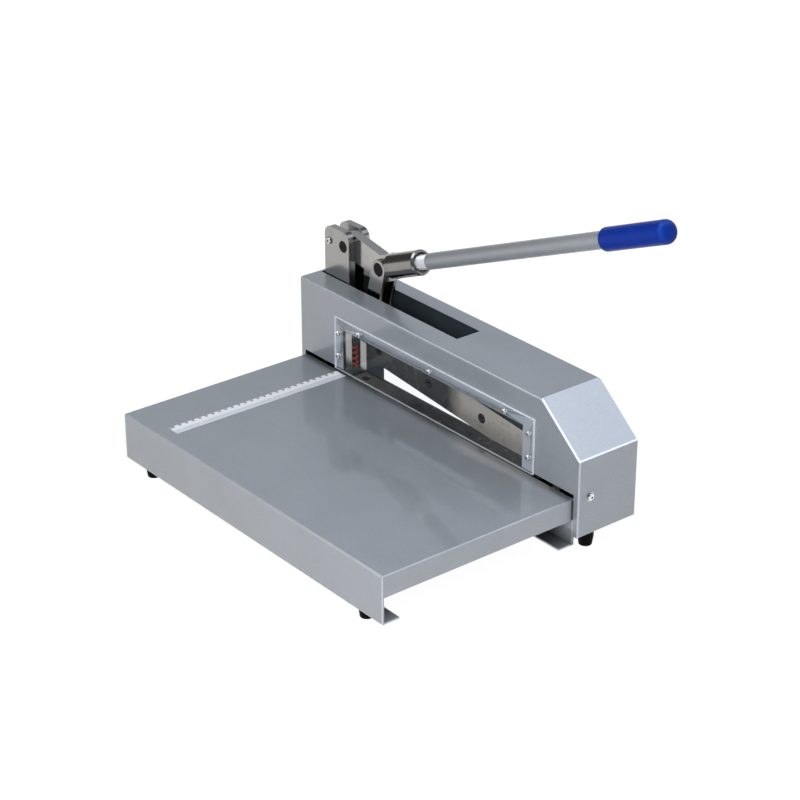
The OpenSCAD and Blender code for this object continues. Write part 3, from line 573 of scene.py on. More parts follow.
@dataclass(frozen=True)
class Moulded(Finish):
    """Rubber or dipped vinyl with a fine grain and faint rub marks."""

    name: str
    colour: Colour
    rubbed: Colour
    rough: float
    grain: float = 1800.0
    depth: float = 0.00003
    gloss: float = 0.3
    rubs: float = 45.0

    def dress(self, tree: ShaderTree) -> None:
        """Mixes the grain with soft rubbed places.

        Args:
            tree: the material\'s empty tree.
        """
        grain = tree.noise(self.grain, 2.0)
        rub = tree.noise(self.rubs, 3.0)
        share = ((rub - 0.45) * 1.6 + (grain - 0.5) * 0.5).clamped()
        base = self.tone(tree, tree.tint(share, self.colour, self.rubbed))
        rough = self.rough + (grain - 0.5) * 0.14 + (rub - 0.5) * 0.10
        normal = tree.relief(grain, self.depth)
        tree.show(tree.surface(
            Base_Color=base, Roughness=rough, Normal=normal, Specular_IOR_Level=self.gloss,
        ))

    def tone(self, tree: ShaderTree, base: Field) -> Field:
        """The colour with what is special to one piece."""
        return base


@dataclass(frozen=True)
class GripVinyl(Moulded):
    """The grip's dipped vinyl, with a painted highlight round the shoulder of its end."""

    way: Triple = (1.0, 0.0, 0.0)
    pale: Colour = (0.012, 0.075, 0.50)

    def tone(self, tree: ShaderTree, base: Field) -> Field:
        """Adds a painted highlight on the shoulder where the surface turns towards the grip's end, stronger
        on its upper side.

        Args:
            tree: the material's tree.
            base: the colour so far.

        Returns:
            The new colour.
        """
        turn = tree.dot(tree.coordinate("Normal"), self.way)
        # painted highlight, by the normal's turn towards the end and upwards
        pale = tree.level(turn, 0.04, 0.50) * (1.0 - tree.level(turn, 0.50, 1.0) * 0.8)
        return tree.tint(pale * tree.level(tree.facing(2), -0.45, 0.5) * 0.55, base, self.pale)


@dataclass(frozen=True)
class ClearSheet(Finish):
    """The faces of a clear acrylic plate, with a faint haze of fine wiping scratches."""

    name: str = "clear_acrylic"
    film: Colour = (0.992, 0.996, 1.0)
    haze: Colour = (0.92, 0.95, 0.98)
    wiped: Triple = (60.0, 60.0, 1400.0)
    clouds: float = 30.0

    def dress(self, tree: ShaderTree) -> None:
        """Lets light through, and adds gloss that grows towards grazing view.

        Args:
            tree: the material\'s empty tree.
        """
        scratch = tree.noise(1.0, 3.0, self.wiped)
        cloud = tree.noise(self.clouds, 2.0)
        rough = 0.04 + (scratch - 0.5) * 0.05
        facing = tree.node("ShaderNodeLayerWeight", {}, {"Blend": 0.5}, "Facing")
        share = (0.04 + facing ** 5.0 * 0.96) * 0.62
        share = share + ((scratch - 0.64) * 0.12).clamped() + (cloud - 0.5) * 0.01
        clear = tree.node("ShaderNodeBsdfTransparent", {}, {"Color": (*self.film, 1.0)})
        body = tree.surface(Base_Color=self.haze, Roughness=rough, Metallic=1.0)
        tree.show(tree.blend(share.clamped(), clear, body))


@dataclass(frozen=True)
class CutSheet(Finish):
    """The sawn edges of the clear plate, with a faint painted glow for the light that they gather."""

    name: str = "acrylic_edge"
    colour: Colour = (0.80, 0.84, 0.88)
    painted_glow: float = 0.12
    solid: float = 1.0
    sawn: Colour = (0.70, 0.76, 0.82)
    grain: Triple = (900.0, 120.0, 900.0)
    depth: float = 0.00003

    def dress(self, tree: ShaderTree) -> None:
        """A pale frosted face with saw marks and a faint painted glow.

        Args:
            tree: the material\'s empty tree.
        """
        saw = tree.noise(1.0, 2.0, self.grain)
        base = tree.tint(saw, self.sawn, self.colour)
        normal = tree.relief(saw, self.depth)
        # the emission is painted light: the edges glow though they are no lamp
        tree.show(tree.surface(
            Base_Color=base, Roughness=0.35 + saw * 0.2, Normal=normal,
            Emission_Color=base, Emission_Strength=self.painted_glow, Alpha=self.solid,
        ))


@dataclass(frozen=True)
class PrintedFace(Finish):
    """The strip's pale printed face or its ink, with slight wear."""

    name: str
    colour: Colour
    wear_and_highlight: Colour
    rough: float = 0.4
    wears: float = 220.0
    grains: float = 2600.0
    depth: float = 0.00001

    def dress(self, tree: ShaderTree) -> None:
        """Mixes wear into the print.

        Args:
            tree: the material\'s empty tree.
        """
        wear = tree.noise(self.wears, 4.0)
        grain = tree.noise(self.grains, 1.0)
        base = tree.tint(((wear - 0.5) * 1.8).clamped(), self.colour, self.wear_and_highlight)
        rough = self.rough + (grain - 0.5) * 0.15
        tree.show(tree.surface(Base_Color=base, Roughness=rough, Normal=tree.relief(grain, self.depth)))


TUBE_PAINT = FlakePaint(
    name="tube_paint", dark=(0.255, 0.272, 0.302), light=(0.365, 0.386, 0.420),
    metal=0.25, rough=0.42, peel=0.000006, edge_highlight_radius=0.0008, coat=0.2, coat_rough=0.25,
)
# the rim share paints a dark band on the rounded rims of posts and links, a painted shade
PLATED_UPRIGHT = BrushedSteel(
    "plated_upright", (0.345, 0.34, 0.33), (0.185, 0.18, 0.17), 0.20, (1500.0, 700.0, 26.0), 0.00002, 0.30,
    rim=0.75,
)
PLATED_TURNED = BrushedSteel(
    "plated_turned", (0.41, 0.40, 0.38), (0.22, 0.21, 0.19), 0.17, (900.0, 900.0, 900.0), 0.00001, 0.28,
)
# a darker copy of the lever's plated steel: a painted dark reflection on the socket
DIMMED_SOCKET = BrushedSteel(
    "plated_socket_dimmed", (0.265, 0.255, 0.24), (0.13, 0.12, 0.11), 0.16, (900.0, 900.0, 900.0), 0.00001, 0.34,
)
# near-black steel for the parts inside the cover: painted shade, as they lie in shade
SHADE_DARK_STEEL = BrushedSteel(
    "shade_dark_inner_steel", (0.012, 0.013, 0.015), (0.007, 0.007, 0.007), 0.45, (26.0, 1500.0, 700.0), 0.00002, 0.5,
    metal=0.85,
)
BLACK_STEEL = BrushedSteel(
    "black_steel", (0.011, 0.0105, 0.010), (0.006, 0.0055, 0.005), 0.34, (600.0, 600.0, 600.0), 0.00001, 0.4,
    metal=0.0, shine=0.06,
)
ZINC = BrushedSteel(
    "zinc_screws", (0.78, 0.79, 0.80), (0.55, 0.55, 0.54), 0.22, (700.0, 700.0, 700.0), 0.00001, 0.25,
)
DULL_ZINC = BrushedSteel(
    "dull_zinc", (0.52, 0.53, 0.54), (0.30, 0.30, 0.29), 0.24, (700.0, 700.0, 700.0), 0.00001, 0.3,
)
WHITE_ZINC = BrushedSteel(
    "white_zinc", (0.72, 0.73, 0.76), (0.52, 0.53, 0.55), 0.42, (700.0, 700.0, 700.0), 0.00001, 0.25,
    metal=0.45,
)
BRONZE = BrushedSteel(
    "bronze_bush", (0.52, 0.33, 0.16), (0.28, 0.17, 0.08), 0.34, (800.0, 800.0, 800.0), 0.00001, 0.4,
)
BLADE = BladeSteel()
# the lower blade's painted reflection is bright towards its left end and dark towards the right
LOWER_BLADE = BladeSteel(
    "lower_blade_steel", (0.23, 0.215, 0.195), (0.008, 0.009, 0.010), turn=(-0.08, -0.20), shine=0.12,
)
# the dark colour of the cover's inner faces: painted shade
INSIDE_SHADE = Moulded(
    "painted_inside_shade", (0.046, 0.060, 0.076), (0.060, 0.075, 0.092), 0.7, 900.0, 0.00003, gloss=0.15,
)
RUBBER = Moulded(
    "black_rubber", (0.002, 0.002, 0.0023), (0.005, 0.005, 0.0055), 0.55, 1500.0, 0.00005, gloss=0.05,
)
SPRING_PAINT = Moulded(
    "red_lacquer", (0.55, 0.026, 0.018), (0.66, 0.055, 0.04), 0.34, 900.0, 0.00002, gloss=0.5,
)
CLEAR = ClearSheet()
CLEAR_EDGE = CutSheet()
LOW_EDGE = CutSheet("acrylic_low_edge", painted_glow=0.10, solid=0.55)
STRIP_FACE = PrintedFace("strip_face", (0.72, 0.745, 0.83), (0.66, 0.685, 0.76))
STRIP_GREY = PrintedFace("strip_grey", (0.36, 0.39, 0.43), (0.30, 0.32, 0.36))
STRIP_WHITE = PrintedFace("strip_white", (0.93, 0.945, 0.985), (0.87, 0.89, 0.94))
STRIP_INK = PrintedFace("strip_ink", (0.045, 0.05, 0.06), (0.14, 0.15, 0.17))


class Datum:
    """Where the working frame's zero lies in the part's own frame."""

    def __init__(self) -> None:
        """Reads it off the cover, which is even about X = 0 and whose front face is Y = 0."""
        low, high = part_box("cover")
        self.zero = Vector(((low.x + high.x) / 2, low.y, 0.0))

    def at(self, x: float, y: float, z: float) -> Vector:
        """A working-frame point in millimetres as a frame point in metres."""
        return self.zero + Vector((x, y, z)) * MM


DATUM = Datum()
JOINTS = {joint["name"]: joint for joint in frame["joints"]}


def toward(origin: Vector, direction: Vector) -> Matrix:
    """The placing whose Z axis points in a direction from an origin."""
    turn = direction.normalized().to_track_quat("Z", "Y").to_matrix().to_4x4()
    return Matrix.Translation(origin) @ turn


def quarter(steps: int) -> list[float]:
    """The angles of a quarter turn, from 0 in even steps."""
    return [math.radians(90.0 * i / steps) for i in range(steps + 1)]


def lathe(profile: Profile, segments: int = 64, closed: bool = False) -> bmesh.types.BMesh:
    """A turned solid about Z.

    Args:
        profile: radius and height of each point, in metres.
        segments: faces round the axis.
        closed: true where the profile comes back to its first point, as in a ring.

    Returns:
        The mesh.
    """
    made = bmesh.new()
    rings = []
    for radius, height in profile:
        count = segments if radius > 1e-9 else 1
        steps = [math.tau * i / segments for i in range(count)]
        rings.append([made.verts.new((radius * math.cos(a), radius * math.sin(a), height)) for a in steps])
    pairs = list(zip(rings, rings[1:]))
    if closed:
        pairs.append((rings[-1], rings[0]))
    for low, high in pairs:
        for i in range(segments):
            j = (i + 1) % segments
            corners = [low[i % len(low)], low[j % len(low)], high[j % len(high)], high[i % len(high)]]
            loop = list(dict.fromkeys(corners))
            if len(loop) > 2:
                made.faces.new(loop)
    bmesh.ops.recalc_face_normals(made, faces=made.faces)
    return made


def skinned(rings: Sequence[Sequence[Union[Vector, Triple]]]) -> bmesh.types.BMesh:
    """A solid whose skin runs over a row of rings.

    Args:
        rings: each ring's points in metres, as many in one as in another.

    Returns:
        The mesh, with one face over its first ring and one over its last.
    """
    made = bmesh.new()
    loops = [[made.verts.new(point) for point in ring] for ring in rings]
    for low, high in zip(loops, loops[1:]):
        for i in range(len(low)):
            j = (i + 1) % len(low)
            made.faces.new((low[i], low[j], high[j], high[i]))
    made.faces.new(loops[0])
    made.faces.new(loops[-1])
    bmesh.ops.recalc_face_normals(made, faces=made.faces)
    return made


def block(low: Vector, high: Vector) -> bmesh.types.BMesh:
    """A box.

    Args:
        low: its lowest corner, in metres.
        high: its highest corner.

    Returns:
        The mesh.
    """
    made = bmesh.new()
    bmesh.ops.create_cube(made, size=1.0)
    size = high - low
    for vert in made.verts:
        vert.co = (low + high) / 2 + Vector(c * s for c, s in zip(vert.co, size))
    return made


def prism(outline: Profile, depth: float) -> bmesh.types.BMesh:
    """An outline in X and Y drawn out along Z, from 0 to a depth in metres."""
    return skinned([[(x, y, z) for x, y in outline] for z in (0.0, depth)])


def moved(made: bmesh.types.BMesh, matrix: Matrix) -> bmesh.types.BMesh:
    """The same mesh at another placing."""
    bmesh.ops.transform(made, matrix=matrix, verts=made.verts)
    return made


def gathered(parts: Iterable[bmesh.types.BMesh]) -> bmesh.types.BMesh:
    """Several meshes as one.

    Args:
        parts: the meshes, which are used up.

    Returns:
        The mesh of them all.
    """
    whole = bmesh.new()
    for part in parts:
        held = bpy.data.meshes.new("held")
        part.to_mesh(held)
        part.free()
        whole.from_mesh(held)
        bpy.data.meshes.remove(held)
    return whole


def spread(pattern: bmesh.types.BMesh, placings: Iterable[Matrix]) -> bmesh.types.BMesh:
    """Copies of one mesh.

    Args:
        pattern: the mesh, which is used up.
        placings: where each copy goes.

    Returns:
        The mesh of all the copies.
    """
    whole = gathered([moved(pattern.copy(), placing) for placing in placings])
    pattern.free()
    return whole


def cut(body: bmesh.types.BMesh, tool: bmesh.types.BMesh, operation: str = "DIFFERENCE") -> bmesh.types.BMesh:
    """One mesh cut by another, or joined with it.

    Args:
        body: the mesh that is cut, which is used up.
        tool: the mesh that cuts it, which is used up.
        operation: what Blender's Boolean does with the two.

    Returns:
        The mesh that is left.
    """
    pair = []
    for name, part in (("cut_body", body), ("cut_tool", tool)):
        held = bpy.data.meshes.new(name)
        part.to_mesh(held)
        part.free()
        piece = bpy.data.objects.new(name, held)
        bpy.context.scene.collection.objects.link(piece)
        pair.append(piece)
    change = pair[0].modifiers.new("cut", "BOOLEAN")
    change.operation = operation
    change.solver = "EXACT"
    change.object = pair[1]
    done = bmesh.new()
    done.from_object(pair[0], bpy.context.evaluated_depsgraph_get())
    for piece in pair:
        held = piece.data
        bpy.data.objects.remove(piece)
        bpy.data.meshes.remove(held)
    return done


@dataclass
class Piece:
    """A piece that is made here: its mesh, finish, body and the CAD nodes that it stands for."""

    name: str
    body: Body
    finish: Finish
    slot: str
    nodes: tuple[str, ...] = ()
    bevel: float = 0.0
    sharp: float = 38.0

    def make(self, made: bmesh.types.BMesh) -> bpy.types.Object:
        """Turns a mesh into a piece that rides on its body.

        Args:
            made: the mesh, which is used up.

        Returns:
            The piece.
        """
        mesh = bpy.data.meshes.new(self.name)
        bmesh.ops.remove_doubles(made, verts=made.verts, dist=WELD_REACH)
        made.to_mesh(mesh)
        made.free()
        mesh.shade_smooth()
        mesh.set_sharp_from_angle(angle=math.radians(self.sharp))
        piece = bpy.data.objects.new(self.name, mesh)
        bpy.context.scene.collection.objects.link(piece)
        mesh.materials.append(self.finish.material())
        if self.bevel:
            round_edges(piece, self.bevel)
        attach(piece, self.body.value)
        if self.nodes:
            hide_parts(*self.nodes)
        log.info("%s: %d faces on %s", self.name, len(mesh.polygons), self.body.value)
        return piece


def round_edges(piece: bpy.types.Object, width: float, segments: int = 2) -> None:
    """Rounds a piece's sharp edges.

    Args:
        piece: the piece, which gets two modifiers.
        width: the rounding's width, in metres.
        segments: faces across the rounding.
    """
    edge = piece.modifiers.new("round_edges", "BEVEL")
    edge.width = width
    edge.segments = segments
    edge.limit_method = "ANGLE"
    edge.angle_limit = math.radians(EDGE_TURN)
    edge.miter_outer = "MITER_ARC"
    shade = piece.modifiers.new("even_shade", "WEIGHTED_NORMAL")
    shade.keep_sharp = False


@dataclass(frozen=True)
class Kept:
    """A CAD node that is shown as it is, with its finish and its edges broken."""

    weld_reach: ClassVar[float] = 1e-6
    flat_turn: ClassVar[float] = 0.6
    node: str
    finish: Finish
    bevel: float = 0.0003

    def dress(self) -> None:
        """Welds the node's facets into whole faces, rounds its edges and gives it its finish."""
        piece = frame["nodes"][self.node]
        mesh = piece.data
        mesh.materials.clear()
        mesh.materials.append(self.finish.material())
        mesh.shade_smooth()
        weld = piece.modifiers.new("weld", "WELD")
        weld.merge_threshold = self.weld_reach
        flat = piece.modifiers.new("flat_faces", "DECIMATE")
        flat.decimate_type = "DISSOLVE"
        flat.angle_limit = math.radians(self.flat_turn)
        round_edges(piece, self.bevel)
        log.info("%s: kept, %s", self.node, self.finish.name)


def repaint(node: str, finish: Finish, chosen: Callable[[bpy.types.MeshPolygon], bool]) -> None:
    """Gives some faces of a CAD node a finish of their own.

    Args:
        node: the node's name.
        finish: the finish.
        chosen: tells whether a face gets it.
    """
    mesh = frame["nodes"][node].data
    mesh.materials.append(finish.material())
    for face in mesh.polygons:
        if chosen(face):
            face.material_index = len(mesh.materials) - 1


@dataclass
class ScrewSet:
    """Pan-head screws of one size, driven in at several places."""

    bare: ClassVar[float] = 0.78
    crown: ClassVar[float] = 0.58
    cross_deep: ClassVar[float] = 0.62
    cross_long: ClassVar[float] = 0.56
    cross_wide: ClassVar[float] = 0.13
    cross_turn: ClassVar[float] = 18.0
    name: str
    thread: float
    length: float
    nodes: tuple[str, ...]
    places: list[tuple[Vector, Vector]]
    head: float = 0.65
    wide: float = 2.0
    washer: float = 0.0
    body: Body = Body.FRAME
    finish: Finish = ZINC
    slot: str = "zinc_steel"

    def head_mesh(self) -> bmesh.types.BMesh:
        """One screw along Z, its seat at 0, with a domed head, its recess, a shank and a grooved washer.

        Returns:
            The mesh.
        """
        d = self.thread * MM
        wide = self.wide * d / 2
        top = self.head * wide
        seat = self.washer * MM
        r = wide * (self.bare if seat else 1.0)
        shank = -self.length * MM
        tall = top - seat
        dome = [(r * math.sin(a), seat + tall * (1.0 - self.crown * (1.0 - math.cos(a)))) for a in quarter(9)]
        rim = [(r * 0.985, seat + tall * 0.06), (r * 0.93, seat)]
        shaft = [(d / 2, seat), (d / 2, shank + d * 0.12), (d * 0.38, shank), (0.0, shank)]
        screw = cut(lathe(dome + rim + shaft, segments=40), self.recess(r, top))
        if seat:
            bore, low = d * 0.52, seat * 0.25
            ring = [(bore, 0.0), (wide * 0.96, 0.0), (wide, seat * 0.3), (wide, seat * 0.8),
                    (wide * 0.96, seat), (wide * 0.90, seat), (wide * 0.84, low), (bore, low)]
            screw = gathered([screw, lathe(ring, segments=48, closed=True)])
        return screw

    def recess(self, radius: float, top: float) -> bmesh.types.BMesh:
        """The tool that cuts a cross recess.

        Args:
            radius: the head's radius.
            top: the head's height.

        Returns:
            The tool, its arms narrower at the bottom.
        """
        deep, long, wide = top * self.cross_deep, radius * self.cross_long, radius * self.cross_wide
        outline = [(-long, -wide), (long, -wide), (long, wide), (-long, wide)]
        arms = []
        for turn in (0.0, 90.0):
            arm = moved(prism(outline, deep + radius), Matrix.Translation((0.0, 0.0, top - deep)))
            for vert in arm.verts:
                if vert.co.z < top - deep / 2:
                    vert.co.x *= 0.5
            arms.append(moved(arm, Matrix.Rotation(math.radians(turn + self.cross_turn), 4, "Z")))
        return cut(arms[0], arms[1], "UNION")

    def build(self) -> None:
        """Puts a copy of the screw at each place."""
        copies = spread(self.head_mesh(), [toward(*place) for place in self.places])
        Piece(self.name, self.body, self.finish, self.slot, self.nodes).make(copies)


@dataclass
class TableTray:
    """The folded table with its measuring strip."""

    top: float = 75.0
    strip_left: float = -191.5
    strip_width: float = 20.0
    strip_back: float = -3.0
    strip_length: float = 264.0
    strip_thick: float = 0.8
    band: float = 11.0
    tooth_reach: float = 5.0
    tooth_wide: float = 7.6
    tooth_tip: float = 5.0
    tick_wide: float = 0.5
    print_tall: float = 0.03
    layers: Triple = (0.33, 0.67, 1.0)
    sunk: float = 0.02
    inset: float = 0.3
    lap: float = 0.6
    long_lap: float = 1.0
    long_reach: float = 3.0
    long_half: float = 1.2
    tick_from: float = 0.2
    tick_clear: float = 1.0
    first: float = 3.0
    step: float = 10.0
    long_every: int = 11

    def build(self) -> None:
        """Dresses the tray and makes the strip."""
        low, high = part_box("base_tray")
        paint = TrayPaint(middle=(low.x + high.x) / 2, half=(high.x - low.x) / 2, front=low.y,
                          back=DATUM.zero.y, top=self.top * MM)
        Kept("base_tray", paint, bevel=0.0005).dress()
        self.strip()
        self.marks()

    def strip(self) -> None:
        """The pale strip that the print lies on."""
        right = self.strip_left + self.strip_width
        front = self.strip_back - self.strip_length
        low = DATUM.at(self.strip_left, front, self.top)
        high = DATUM.at(right, self.strip_back, self.top + self.strip_thick)
        Piece("measuring_strip", Body.FRAME, STRIP_FACE, "white_strip", ("scale_ruler",),
              bevel=0.0002).make(
            block(low, high))

    def marks(self) -> None:
        """The thin print: a white band with a tooth for each step on grey, and hairlines between."""
        level = self.top + self.strip_thick
        base = level - self.sunk
        left = self.strip_left + self.inset
        front, back = self.strip_back - self.strip_length + self.inset, self.strip_back - self.inset
        thin, mid, full = [level + self.print_tall * share for share in self.layers]
        grey = block(DATUM.at(left, front, base), DATUM.at(left + self.tooth_reach, back, thin))
        Piece("strip_band", Body.FRAME, STRIP_GREY, "white_strip").make(grey)
        edge = left + self.band
        fields = [block(DATUM.at(left + self.tooth_reach - self.lap, front, base), DATUM.at(edge, back, mid))]
        ticks = []
        reach, tip, wide = self.tooth_reach * MM, self.tooth_tip * MM / 2, self.tooth_wide * MM / 2
        tooth = [(0.0, -tip), (reach, -wide), (reach, wide), (0.0, tip)]
        for i in range(int((self.strip_length - 2 * self.first) // self.step) + 1):
            y = self.strip_back - self.first - self.step * i
            if i and i % self.long_every == 0:
                low = DATUM.at(edge - self.long_lap, y - self.long_half, base)
                fields.append(block(low, DATUM.at(edge + self.long_reach, y + self.long_half, full)))
            placing = Matrix.Translation(DATUM.at(left, y, base))
            fields.append(moved(prism(tooth, (full - base) * MM), placing))
            y -= self.step / 2
            if y > front + self.tick_clear:
                low = DATUM.at(left + self.tick_from, y - self.tick_wide / 2, base)
                end = left + self.tooth_reach - self.tick_clear
                ticks.append(block(low, DATUM.at(end, y + self.tick_wide / 2, mid)))
        Piece("strip_fields", Body.FRAME, STRIP_WHITE, "white_strip").make(gathered(fields))
        Piece("strip_ticks", Body.FRAME, STRIP_INK, "white_strip").make(gathered(ticks))


@dataclass
class GuardPlate:
    """The clear plate in front of the blades, with its screws."""

    middle: float = -1.0
    bottom: float = 79.5
    width: float = 387.0
    height: float = 73.2
    thick: float = 3.0
    margin: float = 8.0
    pitch: float = 141.5
    low: float = 20.3
    high: float = 52.3
    hole: float = 1.95
    thread: float = 3.5
    screw_length: float = 8.0
    head: float = 8.0
    drill: float = 10.0

    def holes(self) -> list[tuple[float, float]]:
        """Where the screws go.

        Returns:
            Their places, as X and Z.
        """
        sides = [(self.middle + s * (self.width / 2 - self.margin), self.bottom + z)
                 for s in (-1, 1) for z in (self.low, self.high)]
        row = [(self.middle + i * self.pitch, self.bottom + self.height - self.margin) for i in (-1, 0, 1)]
        return sides + row

    def build(self) -> None:
        """Makes the plate, its bright cut edges and its screws."""
        left = self.middle - self.width / 2
        low = DATUM.at(left, -self.thick, self.bottom)
        high = DATUM.at(left + self.width, 0.0, self.bottom + self.height)
        r, reach = self.hole * MM, self.drill * MM
        drill = lathe([(0.0, -reach), (r, -reach), (r, reach), (0.0, reach)], segments=24)
        places = [toward(DATUM.at(x, -self.thick / 2, z), BACK) for x, z in self.holes()]
        plate = cut(block(low, high), spread(drill, places))
        piece = Piece("guard_sheet", Body.FRAME, CLEAR, "clear_acrylic", ("guard_plate",)).make(plate)
        piece.data.materials.append(CLEAR_EDGE.material())
        piece.data.materials.append(LOW_EDGE.material())
        for face in piece.data.polygons:
            edge = 2 if face.normal.z < -SQUARE else 1
            face.material_index = 0 if abs(face.normal.y) > SQUARE else edge
        ScrewSet("guard_screw_set", self.thread, self.screw_length, ("guard_screws",),
                 [(DATUM.at(x, -self.thick, z), AHEAD) for x, z in self.holes()],
                 wide=self.head / self.thread).build()
        Kept("guard_nuts", ZINC, bevel=0.0002).dress()


@dataclass
class CoverHood:
    """The folded cover with the screws in its end panels."""

    half: float = 270.0
    paler_out: float = 1.0
    paler_in: float = 0.7
    screw_y: float = 19.4
    screw_z: float = 75.5
    end_thread: float = 6.0
    end_length: float = 7.5
    end_washer: float = 1.0
    bracket_x: float = 256.0
    bracket_z: float = 39.6
    bracket_thread: float = 5.0
    bracket_length: float = 13.0

    def build(self) -> None:
        """Dresses the cover and its brackets, and makes its screws."""
        guard = GuardPlate()
        left = guard.middle - guard.width / 2
        # the box where the cover's paint is paler, under the clear plate
        low = DATUM.at(left, -self.paler_out, guard.bottom)
        high = DATUM.at(left + guard.width, self.paler_in, guard.bottom + guard.height)
        paint = CoverPaint(low=tuple(low), high=tuple(high), front=DATUM.zero.y)
        Kept("cover", paint, bevel=0.0006).dress()
        self.shade_inside()
        # the brackets take the near-black steel, a painted shade
        Kept("cover_brackets", SHADE_DARK_STEEL).dress()
        ends = [(DATUM.at(s * self.half, self.screw_y, self.screw_z), Vector((s, 0.0, 0.0))) for s in (-1, 1)]
        ScrewSet("cover_screw_set", self.end_thread, self.end_length, ("cover_screws",), ends,
                 washer=self.end_washer).build()
        feet = [(DATUM.at(s * self.bracket_x, self.screw_y, self.bracket_z), UP) for s in (-1, 1)]
        ScrewSet("bracket_screw_set", self.bracket_thread, self.bracket_length, ("bracket_screws",),
                 feet).build()

    @staticmethod
    def shade_inside() -> None:
        """Gives the faces that look into the cover a dark painted shade."""
        low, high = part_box("cover")
        middle = (low + high) / 2
        repaint("cover", INSIDE_SHADE, lambda face: face.normal.dot(face.center - middle) < 0.0)


@dataclass
class BladeBed:
    """The bed, the lower blade and what is bolted to them under the cover."""

    def build(self) -> None:
        """Dresses the fixed steel under the cover."""
        # the fixed steel under the cover is near black, a painted shade
        for node in ("bed_plate", "bed_rail", "front_pivot_plate", "rear_pivot_plate"):
            Kept(node, SHADE_DARK_STEEL, bevel=0.0005).dress()
        Kept("lower_blade", LOWER_BLADE, bevel=0.0003).dress()
        Kept("lower_blade_screws", BLACK_STEEL, bevel=0.0002).dress()
        for node in ("tray_bolts", "rail_bolts", "post_bolts", "plate_bolts"):
            Kept(node, BLACK_STEEL, bevel=0.0004).dress()
        for node in ("blade_pivot_bolt", "blade_pivot_nut"):
            Kept(node, BLACK_STEEL, bevel=0.0005).dress()
        # the seat is near black, a painted shade
        Kept("spring_seat", SHADE_DARK_STEEL, bevel=0.0004).dress()


@dataclass
class Pin:
    """A turned pivot pin along Y with chamfered ends, a clip groove and a centre mark."""

    name: str
    node: str
    body: Body
    chamfer: float = 0.6
    groove: float = 1.3
    tail: float = 2.0
    deep: float = 1.0
    mark: float = 0.2

    def build(self) -> None:
        """Turns the pin to the CAD pin's own box."""
        low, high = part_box(self.node)
        radius = (high.x - low.x) / 2
        long = high.y - low.y
        mark, chamfer, neck = radius * self.mark, self.chamfer * MM, radius - self.deep * MM
        clip = long - self.tail * MM
        start = clip - self.groove * MM
        front = [(0.0, mark * 0.8), (mark, 0.0), (radius - chamfer, 0.0), (radius, chamfer)]
        back = [(radius, start), (neck, start), (neck, clip), (radius, clip),
                (radius, long - chamfer), (radius - chamfer, long), (mark, long), (0.0, long - mark * 0.8)]
        middle = Vector(((low.x + high.x) / 2, low.y, (low.z + high.z) / 2))
        placing = toward(middle, BACK)
        Piece(self.name, self.body, BLACK_STEEL, "black_steel", (self.node,)).make(
            moved(lathe(front + back, segments=56), placing))


@dataclass
class PostStand:
    """The two plated posts with the main pivot, their spacer and their tie screw."""

    tie_x: float = -250.2
    tie_z: float = 232.3
    front: float = 33.2
    tie_thread: float = 5.0
    tie_length: float = 39.6

    def build(self) -> None:
        """Dresses the posts, turns the pin and drives the tie screw."""
        for node in ("front_post", "rear_post"):
            Kept(node, PLATED_UPRIGHT, bevel=0.0006).dress()
        Kept("post_spacer", PLATED_TURNED).dress()
        Kept("post_tie_nut", ZINC).dress()
        Kept("main_pin_clip", BLACK_STEEL, bevel=0.0002).dress()
        Pin("main_pin", "main_pivot_pin", Body.FRAME).build()
        place = DATUM.at(self.tie_x, self.front, self.tie_z)
        ScrewSet("tie_screw", self.tie_thread, self.tie_length, ("post_tie_screw",),
                 [(place, AHEAD)], finish=DULL_ZINC).build()


